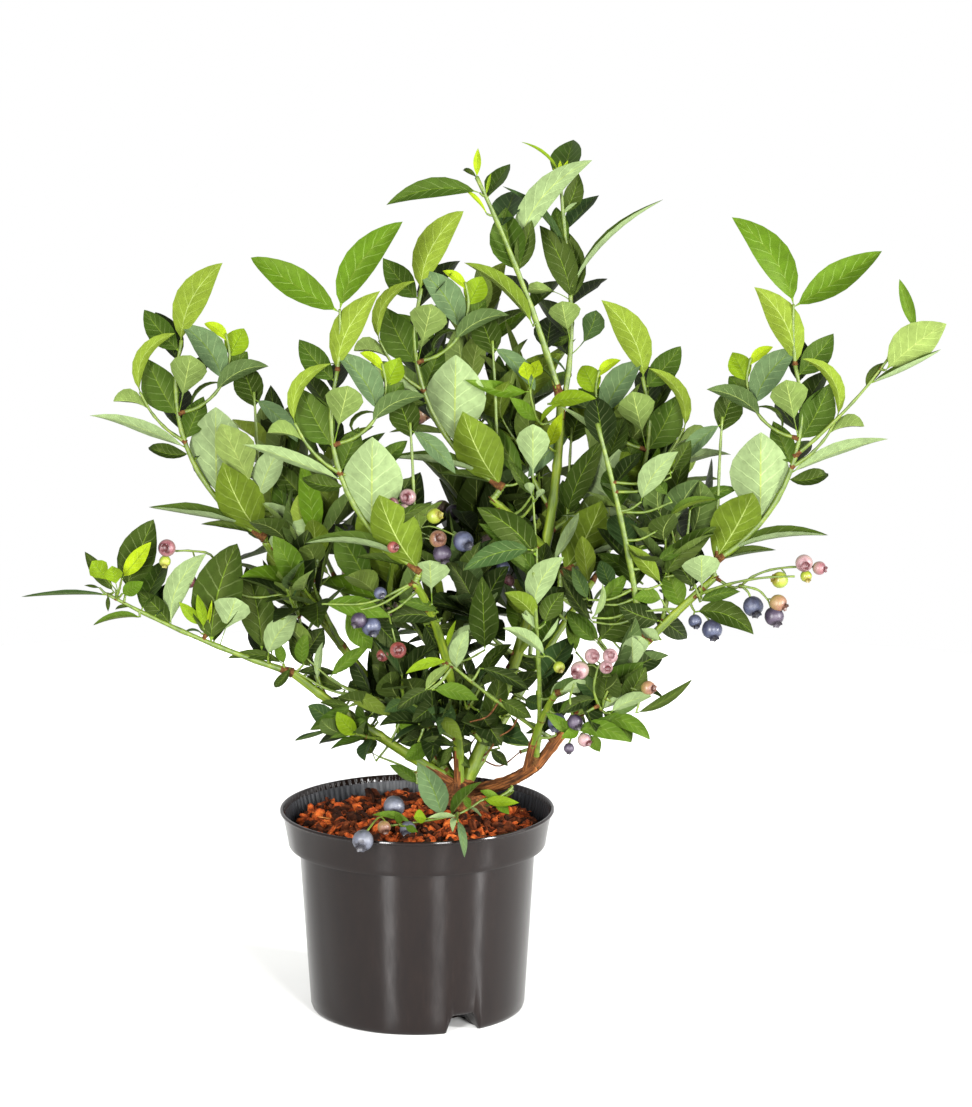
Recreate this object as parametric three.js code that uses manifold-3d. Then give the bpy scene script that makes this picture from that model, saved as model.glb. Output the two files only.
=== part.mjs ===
// Blueberry bush in a round nursery pot. Millimetres, +Z up, the pot's underside on z = 0, its axis on x = y = 0,
// the front towards -Y. Azimuths are degrees in plan from +X towards +Y (270 is the front), leans are degrees off +Z.
import * as THREE from "three";
import Module from "manifold-3d";

const wasm = await Module();
wasm.setup();
const { Manifold, Mesh } = wasm;

// ---- driving dimensions
const POT_HEIGHT = 172;
const RIM_DIAMETER = 230; // outside, at the lip
const BASE_DIAMETER = 180; // outside, at the foot
const BODY_INSET = 16; // how far the wall's top edge lies inside the lip
const BAND_HEIGHT = 31; // the rim's turned-down band
const BAND_STEP = 9; // how far the band stands out from the wall below it
const WALL = 1.8;
const FLOOR = 2.2; // floor thickness
const FOOT_NOTCH = [31, 15, 296]; // the three drainage channels: width, height, azimuth of the front one
const MEDIUM_TOP = 160; // level of the growing medium
const CLEAR = 0.3; // gap kept between neighbouring nodes
const CROWN = [36, 30]; // the stool's centre in plan
const STOOL_TOP = 187;
const STOOL_RADIUS = 11;
const LEAF_THICKNESS = 1 / 60; // of a leaf's length
const STAND_OFF = 27; // least angle between a leaf and its twig, degrees
const ROOT = 0.5; // how far past its twig's centre line a leaf's root reaches
const LAST = 0.985; // the furthest place along a shoot that carries a leaf
const BERRY = 8; // radius of a ripe berry
const SPREAD = [-331, 440, -285, 285, 752]; // the space of the whole crown: x from, x to, y from, y to, top

// ---- limbs: [name, parent, place along it 0..1, azimuth from, to, lean from, to, length, radius from, to]
const LIMBS = [
  ["left_cane", "stool", 0.95, 197, 190, 57, 50, 172, 4.4, 3.4],
  ["left_upper_cane", "stool", 0.9, 172, 205, 40, 34, 266, 4.2, 3.0],
  ["centre_left_cane", "stool", 0.9, 262, 236, 8, 42, 214, 4.4, 3.2],
  ["centre_cane", "stool", 1, 20, -30, 27, 1, 338, 5.6, 3.4],
  ["right_cane_base", "stool", 0.75, 310, 322, 80, 54, 92, 5.2, 4.6],
  ["right_cane", "right_cane_base", 1, -10, 14, 36, 50, 216, 4.5, 3.0],
  ["centre_bough", "centre_cane", 0.62, 225, 215, 46, 54, 76, 3.2, 2.8],
  ["inner_bough", "centre_cane", 0.34, 330, 350, 40, 32, 66, 3.0, 2.7],
  ["back_cane", "stool", 0.9, 95, 80, 20, 42, 250, 4.6, 3.0],
  ["back_left_cane", "stool", 0.8, 140, 128, 34, 54, 216, 4.2, 2.8],
  ["back_right_cane", "stool", 0.8, 40, 52, 38, 54, 220, 4.4, 2.8],
  ["front_right_cane", "right_cane_base", 0.85, 285, 300, 30, 44, 100, 3.4, 2.6],
];

// ---- leaves that a shoot always carries: [place along, azimuth, lean, length, width, face, kind]. Face says where
// the upper side looks: 1 front, 0 up, -1 back. Kinds: 0 pointed, 1 round towards the tip, 2 young.
const PAIR = [
  [0.62, 180, 52, 85, 30, 0.6, 0],
  [1, 358, 32, 78, 33, 0.85, 0],
];
const WHORL = [
  [0.25, 255, 8, 84, 53, -1, 0],
  [0.26, 172, 62, 74, 24, 0.5, 0],
  [0.06, 160, 72, 47, 15, 0.8, 0],
  [0.02, 100, 10, 68, 46, 1, 0],
  [0.53, 192, 62, 86, 20, -0.6, 0],
  [0.52, 215, 80, 38, 18, 0.5, 0],
  [0.62, 140, 30, 57, 36, 1, 0],
  [0.64, 80, 8, 46, 26, 1, 0],
  [0.66, 268, 4, 60, 32, -1, 1],
  [0.9, 150, 38, 46, 25, 0.8, 0],
  [1, 350, 24, 84, 30, -0.8, 0],
];
const WHORL_LEFT = [
  [0.6, 205, 55, 36, 26, -0.7, 1],
  [1, 20, 26, 66, 16, -0.5, 0],
];
const WHORL_RIGHT = [
  [0.45, 75, 12, 62, 28, 1, 0],
  [0.55, 330, 33, 54, 27, -0.7, 0],
  [0.78, 190, 115, 34, 9, 0.3, 0],
  [0.8, 168, 38, 62, 29, 0.6, 0],
  [0.85, 60, 40, 27, 19, 0.8, 0],
  [0.95, 165, 46, 27, 10, 0.6, 2],
  [1, 20, 15, 30, 23, 0.9, 2],
];
const TALL_LEFT = [
  [0.12, 170, 62, 36, 9, 0.3, 0],
  [0.33, 182, 46, 80, 19, -0.5, 0],
  [0.6, 130, 22, 52, 34, 1, 0],
  [0.6, 50, 12, 46, 24, 1, 0],
  [0.68, 348, 37, 100, 27, -0.8, 0],
  [0.9, 190, 45, 25, 8, 0.4, 2],
  [0.96, 182, 86, 83, 31, 0.5, 0],
  [0.99, 160, 58, 18, 8, 0.5, 0],
  [1, 265, 0, 26, 10, -0.6, 2],
  [1, 10, 25, 16, 5, -0.6, 2],
];
const TALL_RIGHT = [
  [0.12, 150, 12, 24, 10, 0.7, 0],
  [0.16, 20, 22, 48, 28, 1, 0],
  [0.2, 262, -6, 42, 33, -1, 1],
  [0.4, 165, 60, 30, 12, -0.4, 1],
  [0.42, 140, 16, 68, 31, 1, 0],
  [0.42, 50, 4, 66, 26, 1, 0],
  [0.52, 352, 45, 98, 19, -0.45, 0],
  [0.64, 196, 39, 80, 20, -0.5, 0],
  [0.78, 120, 14, 40, 24, 0.9, 0],
  [0.9, 30, 12, 38, 23, 0.9, 0],
  [1, 10, 38, 14, 8, 0.5, 2],
  [1, 175, 45, 44, 8, 0.3, 2],
];
const LEFT_TIP = [
  [0.03, 95, 8, 52, 28, 1, 0],
  [0.06, 325, 33, 47, 25, -0.9, 0],
  [0.1, 184, 92, 46, 12, 0.4, 0],
  [0.28, 70, 10, 60, 36, 1, 0],
  [0.36, 285, 13, 46, 35, -1, 1],
  [0.42, 80, 16, 78, 46, 1, 0],
  [0.48, 205, 32, 30, 12, 0.8, 2],
  [0.49, 340, 8, 30, 11, 0.8, 2],
  [0.62, 340, 26, 76, 27, -0.9, 0],
  [0.64, 165, 50, 44, 22, 0.9, 0],
  [0.78, 60, 12, 54, 38, 1, 0],
  [0.8, 188, 96, 46, 14, 0.35, 0],
  [0.9, 330, 40, 34, 14, 0.8, 2],
  [0.93, 340, 55, 20, 14, 0.7, 2],
  [0.97, 165, 38, 32, 22, 0.8, 2],
  [1, 182, 88, 70, 20, 0, 0],
  [0.99, 140, 40, 24, 16, 1, 0],
];
const RIGHT_MIDDLE = [
  [0.08, 5, 76, 40, 20, 0.5, 0],
  [0.2, 188, 56, 62, 33, -0.6, 0],
  [0.28, 20, 38, 86, 32, 0.9, 0],
  [0.3, 150, 30, 36, 22, 1, 0],
  [0.52, 185, 70, 70, 19, 0.4, 0],
  [0.56, 10, 62, 44, 20, 0.5, 0],
  [0.6, 172, 64, 54, 20, -0.3, 0],
  [0.66, 348, 43, 60, 22, -0.7, 0],
  [0.74, 340, 44, 46, 34, -0.8, 0],
  [0.78, 120, 30, 48, 26, 0.9, 0],
];
const FRONT_MIDDLE = [
  [0.55, 190, 50, 38, 22, -0.7, 0],
  [0.42, 350, 50, 72, 36, 0.7, 0],
  [0.78, 215, 20, 40, 22, -0.6, 0],
  [0.8, 330, 29, 84, 35, -0.95, 0],
  [0.86, 140, 30, 46, 24, 0.9, 0],
  [1, 60, 20, 44, 26, 0.8, 0],
];
const LEFT_BROAD = [[0.9, 186, 36, 80, 42, -0.75, 0]];
const FAR_TIP = [
  [0.84, 200, 43, 74, 32, -0.8, 0],
  [0.7, 176, 68, 66, 15, 0.3, 0],
  [1, 20, 12, 42, 13, 0.6, 2],
];
const FRUIT_TWIG = [
  [0.05, 345, 102, 58, 28, 0.7, 0],
  [0.2, 20, 40, 40, 20, 0.8, 0],
];
const LOW_TIP = [
  [0.85, 355, 66, 62, 22, 0.7, 0],
  [0.4, 320, 112, 46, 24, 0.6, 0],
  [0.55, 30, 50, 44, 22, 0.8, 0],
];
const DARK_PAIR = [
  [0.5, 200, 60, 62, 32, 0.9, 0],
  [0.85, 160, 45, 60, 32, 0.9, 0],
  [0.9, 20, 30, 52, 28, 0.8, 0],
];

// ---- masses: each is one stem with its twigs, leaves and berries. sway: azimuth from, to, lean from, to, length.
// rows are the leaves it always carries; fill [twigs, leaves a twig, leaf length] is grown by the seeded rule.
const SPRAY = { sway: [180, 180, 50, -10, 191], thick: [2.6, 1.5], rows: WHORL };
const SPRAY_TWIGS = [
  { at: 0.54, sway: [195, 185, 50, 32, 62], rows: WHORL_LEFT },
  { at: 0.2, sway: [60, 90, 14, 2, 136], rows: WHORL_RIGHT },
];
const PAIR_TWIG = { at: 0.98, sway: [150, 60, 6, -4, 68], rows: PAIR };
const MASSES = [
  { name: "left_spray", limb: "left_upper_cane", at: 1, ...SPRAY, twigs: [...SPRAY_TWIGS, { at: 0.05, sway: [262, 262, 40, 30, 26], rows: LEFT_BROAD }] },
  { name: "centre_left_spray", limb: "centre_left_cane", at: 1, ...SPRAY, twigs: [...SPRAY_TWIGS, PAIR_TWIG] },
  { name: "centre_spray", limb: "centre_bough", at: 1, ...SPRAY, twigs: SPRAY_TWIGS },
  { name: "centre_right_spray", limb: "inner_bough", at: 1, mirror: true, ...SPRAY, twigs: SPRAY_TWIGS },
  { name: "right_spray", limb: "right_cane", at: 1, mirror: true, ...SPRAY, twigs: [...SPRAY_TWIGS, PAIR_TWIG, { at: 0.6, sway: [200, 175, 52, 38, 116], rows: FAR_TIP }] },
  { name: "tall_left_shoot", limb: "centre_cane", at: 1, sway: [190, 196, 18, 28, 193], thick: [2.8, 1.6], rows: TALL_LEFT },
  { name: "tall_right_shoot", limb: "centre_cane", at: 0.95, sway: [50, 200, 24, 0, 198], thick: [2.4, 1.4], rows: TALL_RIGHT },
  { name: "left_cane_shoot", limb: "left_cane", at: 1, sway: [192, 184, 70, 60, 168], thick: [2.6, 1.3], rows: LEFT_TIP, berries: [[0.7, 60, 20, 60, 1]] },
  { name: "right_middle_shoot", limb: "right_cane", at: 0.62, sway: [215, 160, 8, 16, 190], thick: [2.6, 1.4], rows: RIGHT_MIDDLE },
  { name: "front_middle_shoot", limb: "right_cane_base", at: 0.97, sway: [285, 240, 30, 4, 184], thick: [2.4, 1.3], rows: FRONT_MIDDLE },
  { name: "low_thin_shoot", limb: "right_cane", at: 0.12, sway: [212, 195, 56, 48, 124], thick: [2.0, 1.2], fill: [0, 6, 40] },
  { name: "left_skirt", limb: "left_cane", at: 0.44, sway: [240, 225, 84, 62, 36], thick: [1.8, 1.2], fill: [1, 4, 36] },
  { name: "left_inner", limb: "left_cane", at: 0.8, sway: [160, 190, 22, 10, 96], thick: [1.9, 1.2], rows: DARK_PAIR, fill: [1, 4, 50] },
  { name: "left_middle", limb: "left_upper_cane", at: 0.55, sway: [220, 200, 35, 10, 120], thick: [2.1, 1.2], fill: [3, 4, 54] },
  { name: "low_left", limb: "centre_left_cane", at: 0.2, sway: [212, 200, 62, 40, 84], thick: [1.9, 1.2], fill: [3, 3, 42] },
  { name: "low_centre", limb: "centre_cane", at: 0.1, sway: [245, 250, 58, 20, 64], thick: [1.9, 1.2], fill: [3, 3, 42] },
  { name: "centre_left_fill", limb: "centre_left_cane", at: 0.5, sway: [140, 172, 50, 16, 124], thick: [2.1, 1.2], fill: [3, 4, 56] },
  { name: "centre_low_fill", limb: "centre_cane", at: 0.34, sway: [200, 230, 60, 10, 90], thick: [2.1, 1.2], fill: [2, 4, 54] },
  { name: "centre_fill", limb: "centre_cane", at: 0.72, sway: [150, 120, 40, 10, 110], thick: [2.1, 1.2], fill: [2, 4, 56] },
  { name: "right_centre_fill", limb: "centre_cane", at: 0.66, sway: [10, 20, 60, 30, 110], thick: [2.1, 1.2], fill: [2, 4, 58] },
  { name: "right_fill", limb: "right_cane", at: 0.72, sway: [60, 80, 30, 6, 104], thick: [2.0, 1.2], fill: [3, 3, 56] },
  { name: "right_fruit_twig", limb: "right_cane", at: 0.88, sway: [328, 345, 60, 88, 94], thick: [1.8, 1.2], rows: FRUIT_TWIG, berries: [[1, 0, 80, 12, 2], [0.6, 300, 120, 20, 2]] },
  { name: "low_right", limb: "front_right_cane", at: 1, sway: [-10, 10, 70, 82, 66], thick: [1.9, 1.2], rows: LOW_TIP, fill: [2, 3, 44], berries: [[0.3, 200, 40, 20, 2]] },
  { name: "back_crown", limb: "back_cane", at: 1, sway: [85, 95, 35, 15, 170], thick: [2.4, 1.3], fill: [4, 3, 64] },
  { name: "back_inner", limb: "back_cane", at: 0.55, sway: [30, 60, 30, 10, 130], thick: [2.1, 1.2], fill: [3, 3, 60] },
  { name: "back_left_crown", limb: "back_left_cane", at: 1, sway: [120, 125, 50, 40, 130], thick: [2.4, 1.3], fill: [4, 3, 62] },
  { name: "back_left_inner", limb: "back_left_cane", at: 0.5, sway: [100, 120, 20, 5, 120], thick: [2.1, 1.2], fill: [2, 4, 60] },
  { name: "back_right_crown", limb: "back_right_cane", at: 1, sway: [55, 50, 50, 40, 130], thick: [2.4, 1.3], fill: [4, 3, 62] },
  { name: "back_right_inner", limb: "back_right_cane", at: 0.5, sway: [80, 60, 20, 5, 120], thick: [2.1, 1.2], fill: [2, 4, 60] },
];

// ---- vectors
const add = (a, b, k = 1) => [a[0] + b[0] * k, a[1] + b[1] * k, a[2] + b[2] * k];
const sub = (a, b) => [a[0] - b[0], a[1] - b[1], a[2] - b[2]];
const dot = (a, b) => a[0] * b[0] + a[1] * b[1] + a[2] * b[2];
const cross = (a, b) => [a[1] * b[2] - a[2] * b[1], a[2] * b[0] - a[0] * b[2], a[0] * b[1] - a[1] * b[0]];
const unit = (a) => {
  const l = Math.sqrt(dot(a, a));
  return [a[0] / l, a[1] / l, a[2] / l];
};
const RAD = Math.PI / 180;
const heading = (azimuth, lean) => [
  Math.sin(lean * RAD) * Math.cos(azimuth * RAD),
  Math.sin(lean * RAD) * Math.sin(azimuth * RAD),
  Math.cos(lean * RAD),
];

// A stream of numbers 0..1 from a whole-number seed.
function stream(seed) {
  let a = seed >>> 0;
  return () => {
    a = (a + 0x6d2b79f5) >>> 0;
    let t = Math.imul(a ^ (a >>> 15), a | 1);
    t = (t + Math.imul(t ^ (t >>> 7), t | 61)) ^ t;
    return ((t ^ (t >>> 14)) >>> 0) / 4294967296;
  };
}

// The centre line of a shoot: equal steps whose azimuth and lean turn evenly from their first to their last value.
function grow(start, [az0, az1, lean0, lean1, length], steps) {
  const line = [start];
  for (let i = 0; i < steps; i++) {
    const t = (i + 0.5) / steps;
    line.push(add(line[i], heading(az0 + (az1 - az0) * t, lean0 + (lean1 - lean0) * t), length / steps));
  }
  return line;
}
// Place, direction and radius a fraction t along a shoot.
function along(shoot, t) {
  const n = shoot.line.length - 1;
  const i = Math.min(n - 1, Math.floor(t * n));
  const a = shoot.line[i];
  const b = shoot.line[i + 1];
  return { p: add(a, sub(b, a), t * n - i), d: unit(sub(b, a)), r: shoot.r[0] + (shoot.r[1] - shoot.r[0]) * t };
}
// A shoot's tapering sleeve as rings of corners, closed by its two flat ends.
function sleeve(shoot, sides) {
  const n = shoot.line.length - 1;
  const rings = [];
  let side = null;
  for (let i = 0; i <= n; i++) {
    const before = shoot.line[Math.max(0, i - 1)];
    const after = shoot.line[Math.min(n, i + 1)];
    const d = unit(sub(after, before));
    const guess = side || (Math.abs(d[2]) > 0.9 ? [1, 0, 0] : [0, 0, 1]);
    side = unit(add(guess, d, -dot(guess, d)));
    const other = cross(d, side);
    const r = shoot.r[0] + ((shoot.r[1] - shoot.r[0]) * i) / n;
    rings.push(
      Array.from({ length: sides }, (_, k) => {
        const a = (2 * Math.PI * k) / sides;
        return add(add(shoot.line[i], side, r * Math.cos(a)), other, r * Math.sin(a));
      }),
    );
  }
  const faces = [];
  for (let i = 0; i < n; i++)
    for (let k = 0; k < sides; k++) {
      const m = (k + 1) % sides;
      faces.push([rings[i][k], rings[i][m], rings[i + 1][m]], [rings[i][k], rings[i + 1][m], rings[i + 1][k]]);
    }
  for (let k = 1; k < sides - 1; k++) {
    faces.push([rings[0][0], rings[0][k + 1], rings[0][k]]);
    faces.push([rings[n][0], rings[n][k], rings[n][k + 1]]);
  }
  return faces;
}
// Distance from a point to a shoot's surface, its flat ends counted.
function distance(point, shoot) {
  let best = Infinity;
  const n = shoot.line.length - 1;
  for (let i = 0; i < n; i++) {
    const a = shoot.line[i];
    const ab = sub(shoot.line[i + 1], a);
    const l = Math.sqrt(dot(ab, ab));
    const u = dot(sub(point, a), ab) / (l * l);
    const v = Math.min(1, Math.max(0, u));
    const q = sub(point, add(a, ab, v));
    const r = shoot.r[0] + ((shoot.r[1] - shoot.r[0]) * (i + v)) / n;
    const axial = ((u - v) * l) ** 2;
    const radial = Math.sqrt(Math.max(0, dot(q, q) - axial)) - r;
    const end = (i === 0 && u < 0) || (i === n - 1 && u > 1);
    best = Math.min(best, end ? Math.sqrt(axial + Math.max(0, radial) ** 2) : Math.sqrt(dot(q, q)) - r);
  }
  return best;
}
// Cuts a shoot's foot back until its end disc stands clear of the limb that it grows from.
function stepClear(shoot, limb) {
  const full = shoot.line;
  const step = Math.sqrt(dot(sub(full[1], full[0]), sub(full[1], full[0])));
  for (let cut = 0; cut < step * 0.95; cut += 0.5) {
    const foot = add(full[0], sub(full[1], full[0]), cut / step);
    const d = unit(sub(full[1], full[0]));
    const a = unit(cross(d, Math.abs(d[2]) > 0.9 ? [1, 0, 0] : [0, 0, 1]));
    const b = cross(d, a);
    const disc = [0, 0.35, 0.7, 1.05].flatMap((share) =>
      Array.from({ length: 12 }, (_, k) => {
        const turn = (k * Math.PI) / 6;
        return add(add(foot, a, share * shoot.r[0] * Math.cos(turn)), b, share * shoot.r[0] * Math.sin(turn));
      }),
    );
    if (disc.every((q) => distance(q, limb) > CLEAR)) return { ...shoot, line: [foot, ...full.slice(1)] };
  }
  return full.length > 2 ? stepClear({ ...shoot, line: full.slice(1) }, limb) : shoot;
}

// The blade of a leaf: a folded, arched lens. Corners lie on its ovate outline; a ridge point above and one below the
// middle give the thickness. Long leaves have six outline corners, short ones four.
const outline = (u, belly) => Math.sin(Math.PI * u ** (Math.log(0.5) / Math.log(belly))) ** 0.85;
function blade(leaf, grown = 0, from = 0) {
  const { base, d, n, length, width, kind } = leaf;
  const s = cross(d, n);
  const belly = kind === 1 ? 0.62 : 0.45;
  const arch = leaf.arch;
  const thick = Math.max(0.8, length * LEAF_THICKNESS) / 2 + grown;
  const at = (u, across, lift) => add(add(add(base, d, length * u), s, across), n, 4 * arch * length * u * (1 - u) + lift);
  const to = grown ? 1.02 : 1;
  const cuts = leaf.fine ? [0.28, 0.66] : [belly];
  const right = [];
  const left = [];
  for (const u of cuts) {
    const w = (width / 2) * outline(u, belly) * (leaf.fine ? 1.05 : 1.14) + grown;
    right.push(at(u, w, leaf.fold * w));
    left.push(at(u, -w, leaf.fold * w));
  }
  const ring = [at(from, 0, 0), ...right, at(to, 0, 0), ...left.reverse()];
  const up = at(0.46, 0, thick);
  const down = at(0.46, 0, -thick);
  const faces = [];
  for (let k = 0; k < ring.length; k++) {
    const m = (k + 1) % ring.length;
    faces.push([ring[k], ring[m], up], [ring[m], ring[k], down]);
  }
  return faces;
}

// ---- keeping apart: every placed solid is kept as faces with a ball round them
const ball = (faces) => {
  let c = [0, 0, 0];
  for (const f of faces) for (const p of f) c = add(c, p, 1 / (3 * faces.length));
  let r = 0;
  for (const f of faces) for (const p of f) r = Math.max(r, dot(sub(p, c), sub(p, c)));
  return { faces, c, r: Math.sqrt(r) };
};
// Whether the straight line from p to q passes through a triangle.
function pierces(p, q, [a, b, c]) {
  const d = sub(q, p);
  const ab = sub(b, a);
  const ac = sub(c, a);
  const h = cross(d, ac);
  const det = dot(ab, h);
  if (Math.abs(det) < 1e-12) return false;
  const s = sub(p, a);
  const u = dot(s, h) / det;
  if (u < 0 || u > 1) return false;
  const k = cross(s, ab);
  const v = dot(d, k) / det;
  const w = dot(ac, k) / det;
  return v >= 0 && u + v <= 1 && w >= 0 && w <= 1;
}
const piercesAny = (from, to) => {
  for (const [a, b, c] of from.faces)
    for (const face of to.faces) if (pierces(a, b, face) || pierces(b, c, face) || pierces(c, a, face)) return true;
  return false;
};
const meets = (one, other) => {
  const gap = sub(one.c, other.c);
  if (dot(gap, gap) > (one.r + other.r) ** 2) return false;
  return piercesAny(one, other) || piercesAny(other, one);
};
const swollen = (shoot, by, sides) => ball(sleeve({ ...shoot, r: [shoot.r[0] + by, shoot.r[1] + by] }, sides));
const outside = (faces) =>
  faces.some((f) =>
    f.some(
      ([x, y, z]) =>
        x < SPREAD[0] || x > SPREAD[1] || y < SPREAD[2] || y > SPREAD[3] || z > SPREAD[4] ||
        (z < MEDIUM_TOP + 7 && x * x + y * y < (RIM_DIAMETER / 2 + 1) ** 2) ||
        (z < POT_HEIGHT + 1 && x * x + y * y > 105 ** 2 && x * x + y * y < (RIM_DIAMETER / 2 + 2) ** 2) ||
        z < POT_HEIGHT - 60,
    ),
  );

// ---- the plant's lines: the stool, the limbs, then each mass's stem and twigs
const stool = { line: [[...CROWN, MEDIUM_TOP + 5 + CLEAR], [CROWN[0], CROWN[1], STOOL_TOP]], r: [STOOL_RADIUS * 1.9, STOOL_RADIUS] };
const limbs = { stool };
for (const [name, from, at, az0, az1, lean0, lean1, length, r0, r1] of LIMBS) {
  const { p } = along(limbs[from], at);
  const start = from === "stool" ? add(p, heading(az0, 90), along(limbs[from], at).r * 0.9) : p;
  let limb = { line: grow(start, [az0, az1, lean0, lean1, length], length > 100 ? 8 : 4), r: [r0, r1] };
  for (const other of Object.values(limbs)) limb = stepClear(limb, other);
  limbs[name] = limb;
}
const placed = [];
for (const limb of Object.values(limbs)) placed.push({ ...swollen(limb, CLEAR + 0.1, 7), owner: limb });

const stems = [];
const masses = MASSES.map((m, index) => {
  const { p } = along(limbs[m.limb], m.at);
  const turn = ([az0, az1, ...rest]) => (m.mirror ? [180 - az0, 180 - az1, ...rest] : [az0, az1, ...rest]);
  let stem = { line: grow(p, turn(m.sway), m.sway[4] > 80 ? 5 : 3), r: m.thick };
  for (const other of [...Object.values(limbs), ...stems]) stem = stepClear(stem, other);
  stem.rows = m.rows || [];
  stem.key = 0;
  stems.push(stem);
  return { ...m, index, turn, stem, shoots: [stem], leaves: [], fruit: [] };
});
for (const m of masses) placed.push({ ...swollen(m.stem, CLEAR + 0.1, 3), owner: m.stem, mass: m });
for (const m of masses)
  for (const [k, t] of (m.twigs || []).entries()) {
    const { p } = along(m.stem, t.at);
    const twig = { line: grow(p, m.turn(t.sway), t.sway[4] > 60 ? 4 : 2), r: [1.7, 1.1], rows: t.rows, key: k + 1 };
    m.shoots.push(twig);
    placed.push({ ...swollen(twig, CLEAR + 0.1, 3), owner: twig, mass: m });
  }
// Seeded twigs: they wind round the stem by the golden angle, lean out from it and turn up; one that meets anything
// of another node is tried again, and skipped after the fourth time.
for (const m of masses) {
  const [count, each] = m.fill || [0, 0];
  const next = stream(7919 * (m.index + 1));
  for (let k = 0; k < count; k++)
    for (let trial = 0; trial < 4; trial++) {
      const t = 0.12 + (0.78 * (k + next() * 0.8)) / count;
      const { p, d } = along(m.stem, t);
      const around = k * 137.5 + next() * 40 + trial * 70;
      const a = unit(cross(d, Math.abs(d[2]) > 0.9 ? [1, 0, 0] : [0, 0, 1]));
      const out = add(add([0, 0, 0], a, Math.cos(around * RAD)), cross(d, a), Math.sin(around * RAD));
      const way = unit(add(add([0, 0, 0.15], d, 0.62 + 0.2 * next()), out, 0.75));
      const azimuth = Math.atan2(way[1], way[0]) / RAD;
      const lean = Math.acos(way[2]) / RAD;
      const length = Math.max(34, m.sway[4] * (0.5 - 0.22 * t) * (0.8 + 0.4 * next()));
      const twig = { line: grow(p, [azimuth, azimuth, lean, lean - 14, length], 1), r: [1.6, 1.0], rows: [], key: k + 1, seeded: each };
      const body = swollen(twig, CLEAR + 0.1, 3);
      if (outside(body.faces) || placed.some((o) => o.mass !== m && meets(body, o))) continue;
      m.shoots.push(twig);
      placed.push({ ...body, owner: twig, mass: m });
      break;
    }
  if (count || each) m.shoots[0].seeded = each;
}

// Berries: a stalk from the shoot with a loose bunch of berries at its end, each on a short stalk of its own.
function hangBerries(m) {
  const next = stream(104729 * (m.index + 1));
  for (const [at, azimuth, lean, length, count] of m.berries || []) {
    const { p } = along(m.stem, Math.min(at, LAST));
    const stalk = { line: grow(p, [...m.turn([azimuth, azimuth]), lean, lean + 25, length], 2), r: [0.9, 0.7] };
    m.fruit.push({ faces: sleeve(stalk, 3) });
    for (let k = 0; k < count; k++)
      for (let trial = 0; trial < 6; trial++) {
        const t = count > 1 ? 0.35 + (0.65 * k) / (count - 1) : 1;
        const from = along(stalk, Math.min(t, 0.97)).p;
        const r = BERRY * (0.78 + 0.3 * next());
        const way = heading(next() * 360, 70 + 50 * next());
        const pip = add(from, way, 7 + r);
        const body = ball(gem(pip, r + 0.4));
        if (outside(body.faces) || placed.some((o) => o.owner !== m.stem && meets(body, o))) continue;
        m.fruit.push({ faces: sleeve({ line: [from, add(from, way, 9)], r: [0.8, 0.7] }, 3) }, { faces: gem(pip, r), pip, r });
        placed.push({ ...body, mass: m });
        break;
      }
  }
}
// A twenty-faced ball.
function gem(c, r) {
  const g = new THREE.IcosahedronGeometry(r, 0).attributes.position;
  const faces = [];
  const corner = (i) => [g.getX(i) + c[0], g.getY(i) + c[1], g.getZ(i) + c[2]];
  for (let i = 0; i < g.count; i += 3) faces.push([corner(i), corner(i + 1), corner(i + 2)]);
  return faces;
}
masses.forEach(hangBerries);

// A leaf's direction, turned away from its twig's where the two are closer than STAND_OFF.
function standOff(d, way) {
  const c = dot(d, way);
  if (c < Math.cos(STAND_OFF * RAD)) return d;
  const out = unit(add(d, way, -c));
  return add(add([0, 0, 0], way, Math.cos(STAND_OFF * RAD)), out, Math.sin(STAND_OFF * RAD));
}
// A leaf is set on its shoot with its root sunk in; one that meets anything of another node, or past its root another
// shoot or leaf of its own, is turned a little and tried again, and skipped after the last trial.
function setLeaf(m, shoot, make, trials) {
  for (let trial = 0; trial < trials; trial++) {
    const leaf = make(trial);
    const whole = ball(blade(leaf, 0.5));
    const free = ball(blade(leaf, 0.5, 0.14));
    if (outside(free.faces)) continue;
    if (placed.some((o) => (o.mass === m ? shoot && o.owner !== shoot && meets(free, o) : meets(whole, o)))) continue;
    m.leaves.push(leaf);
    placed.push({ ...whole, mass: m });
    return true;
  }
  return false;
}
for (const m of masses)
  for (const shoot of m.shoots)
    for (const [k, [at, azimuth, lean, length, width, face, kind]] of (shoot.rows || []).entries()) {
      const { p, d: stemWay } = along(shoot, Math.min(at, LAST));
      const next = stream(1000003 + 7907 * m.index + 101 * shoot.key + k);
      const make = (trial) => {
        const swing = trial ? (next() - 0.5) * 16 * trial : 0;
        const nod = trial ? (next() - 0.5) * 12 * trial : 0;
        const [az] = m.turn([azimuth + swing, 0]);
        const d = at < 0.95 ? standOff(heading(az, lean + nod), stemWay) : heading(az, lean + nod);
        const look = [0, -face, 1 - Math.abs(face)];
        const n = unit(add(look, d, -dot(look, d)));
        return { base: add(p, d, -ROOT), d, n, length: length * (1 - 0.04 * trial), width, kind, arch: kind === 1 ? 0.03 : 0.06, fold: 0.3, fine: length > 72 };
      };
      if (!setLeaf(m, shoot, make, 4)) setLeaf(m, null, make, 3);
    }
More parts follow.
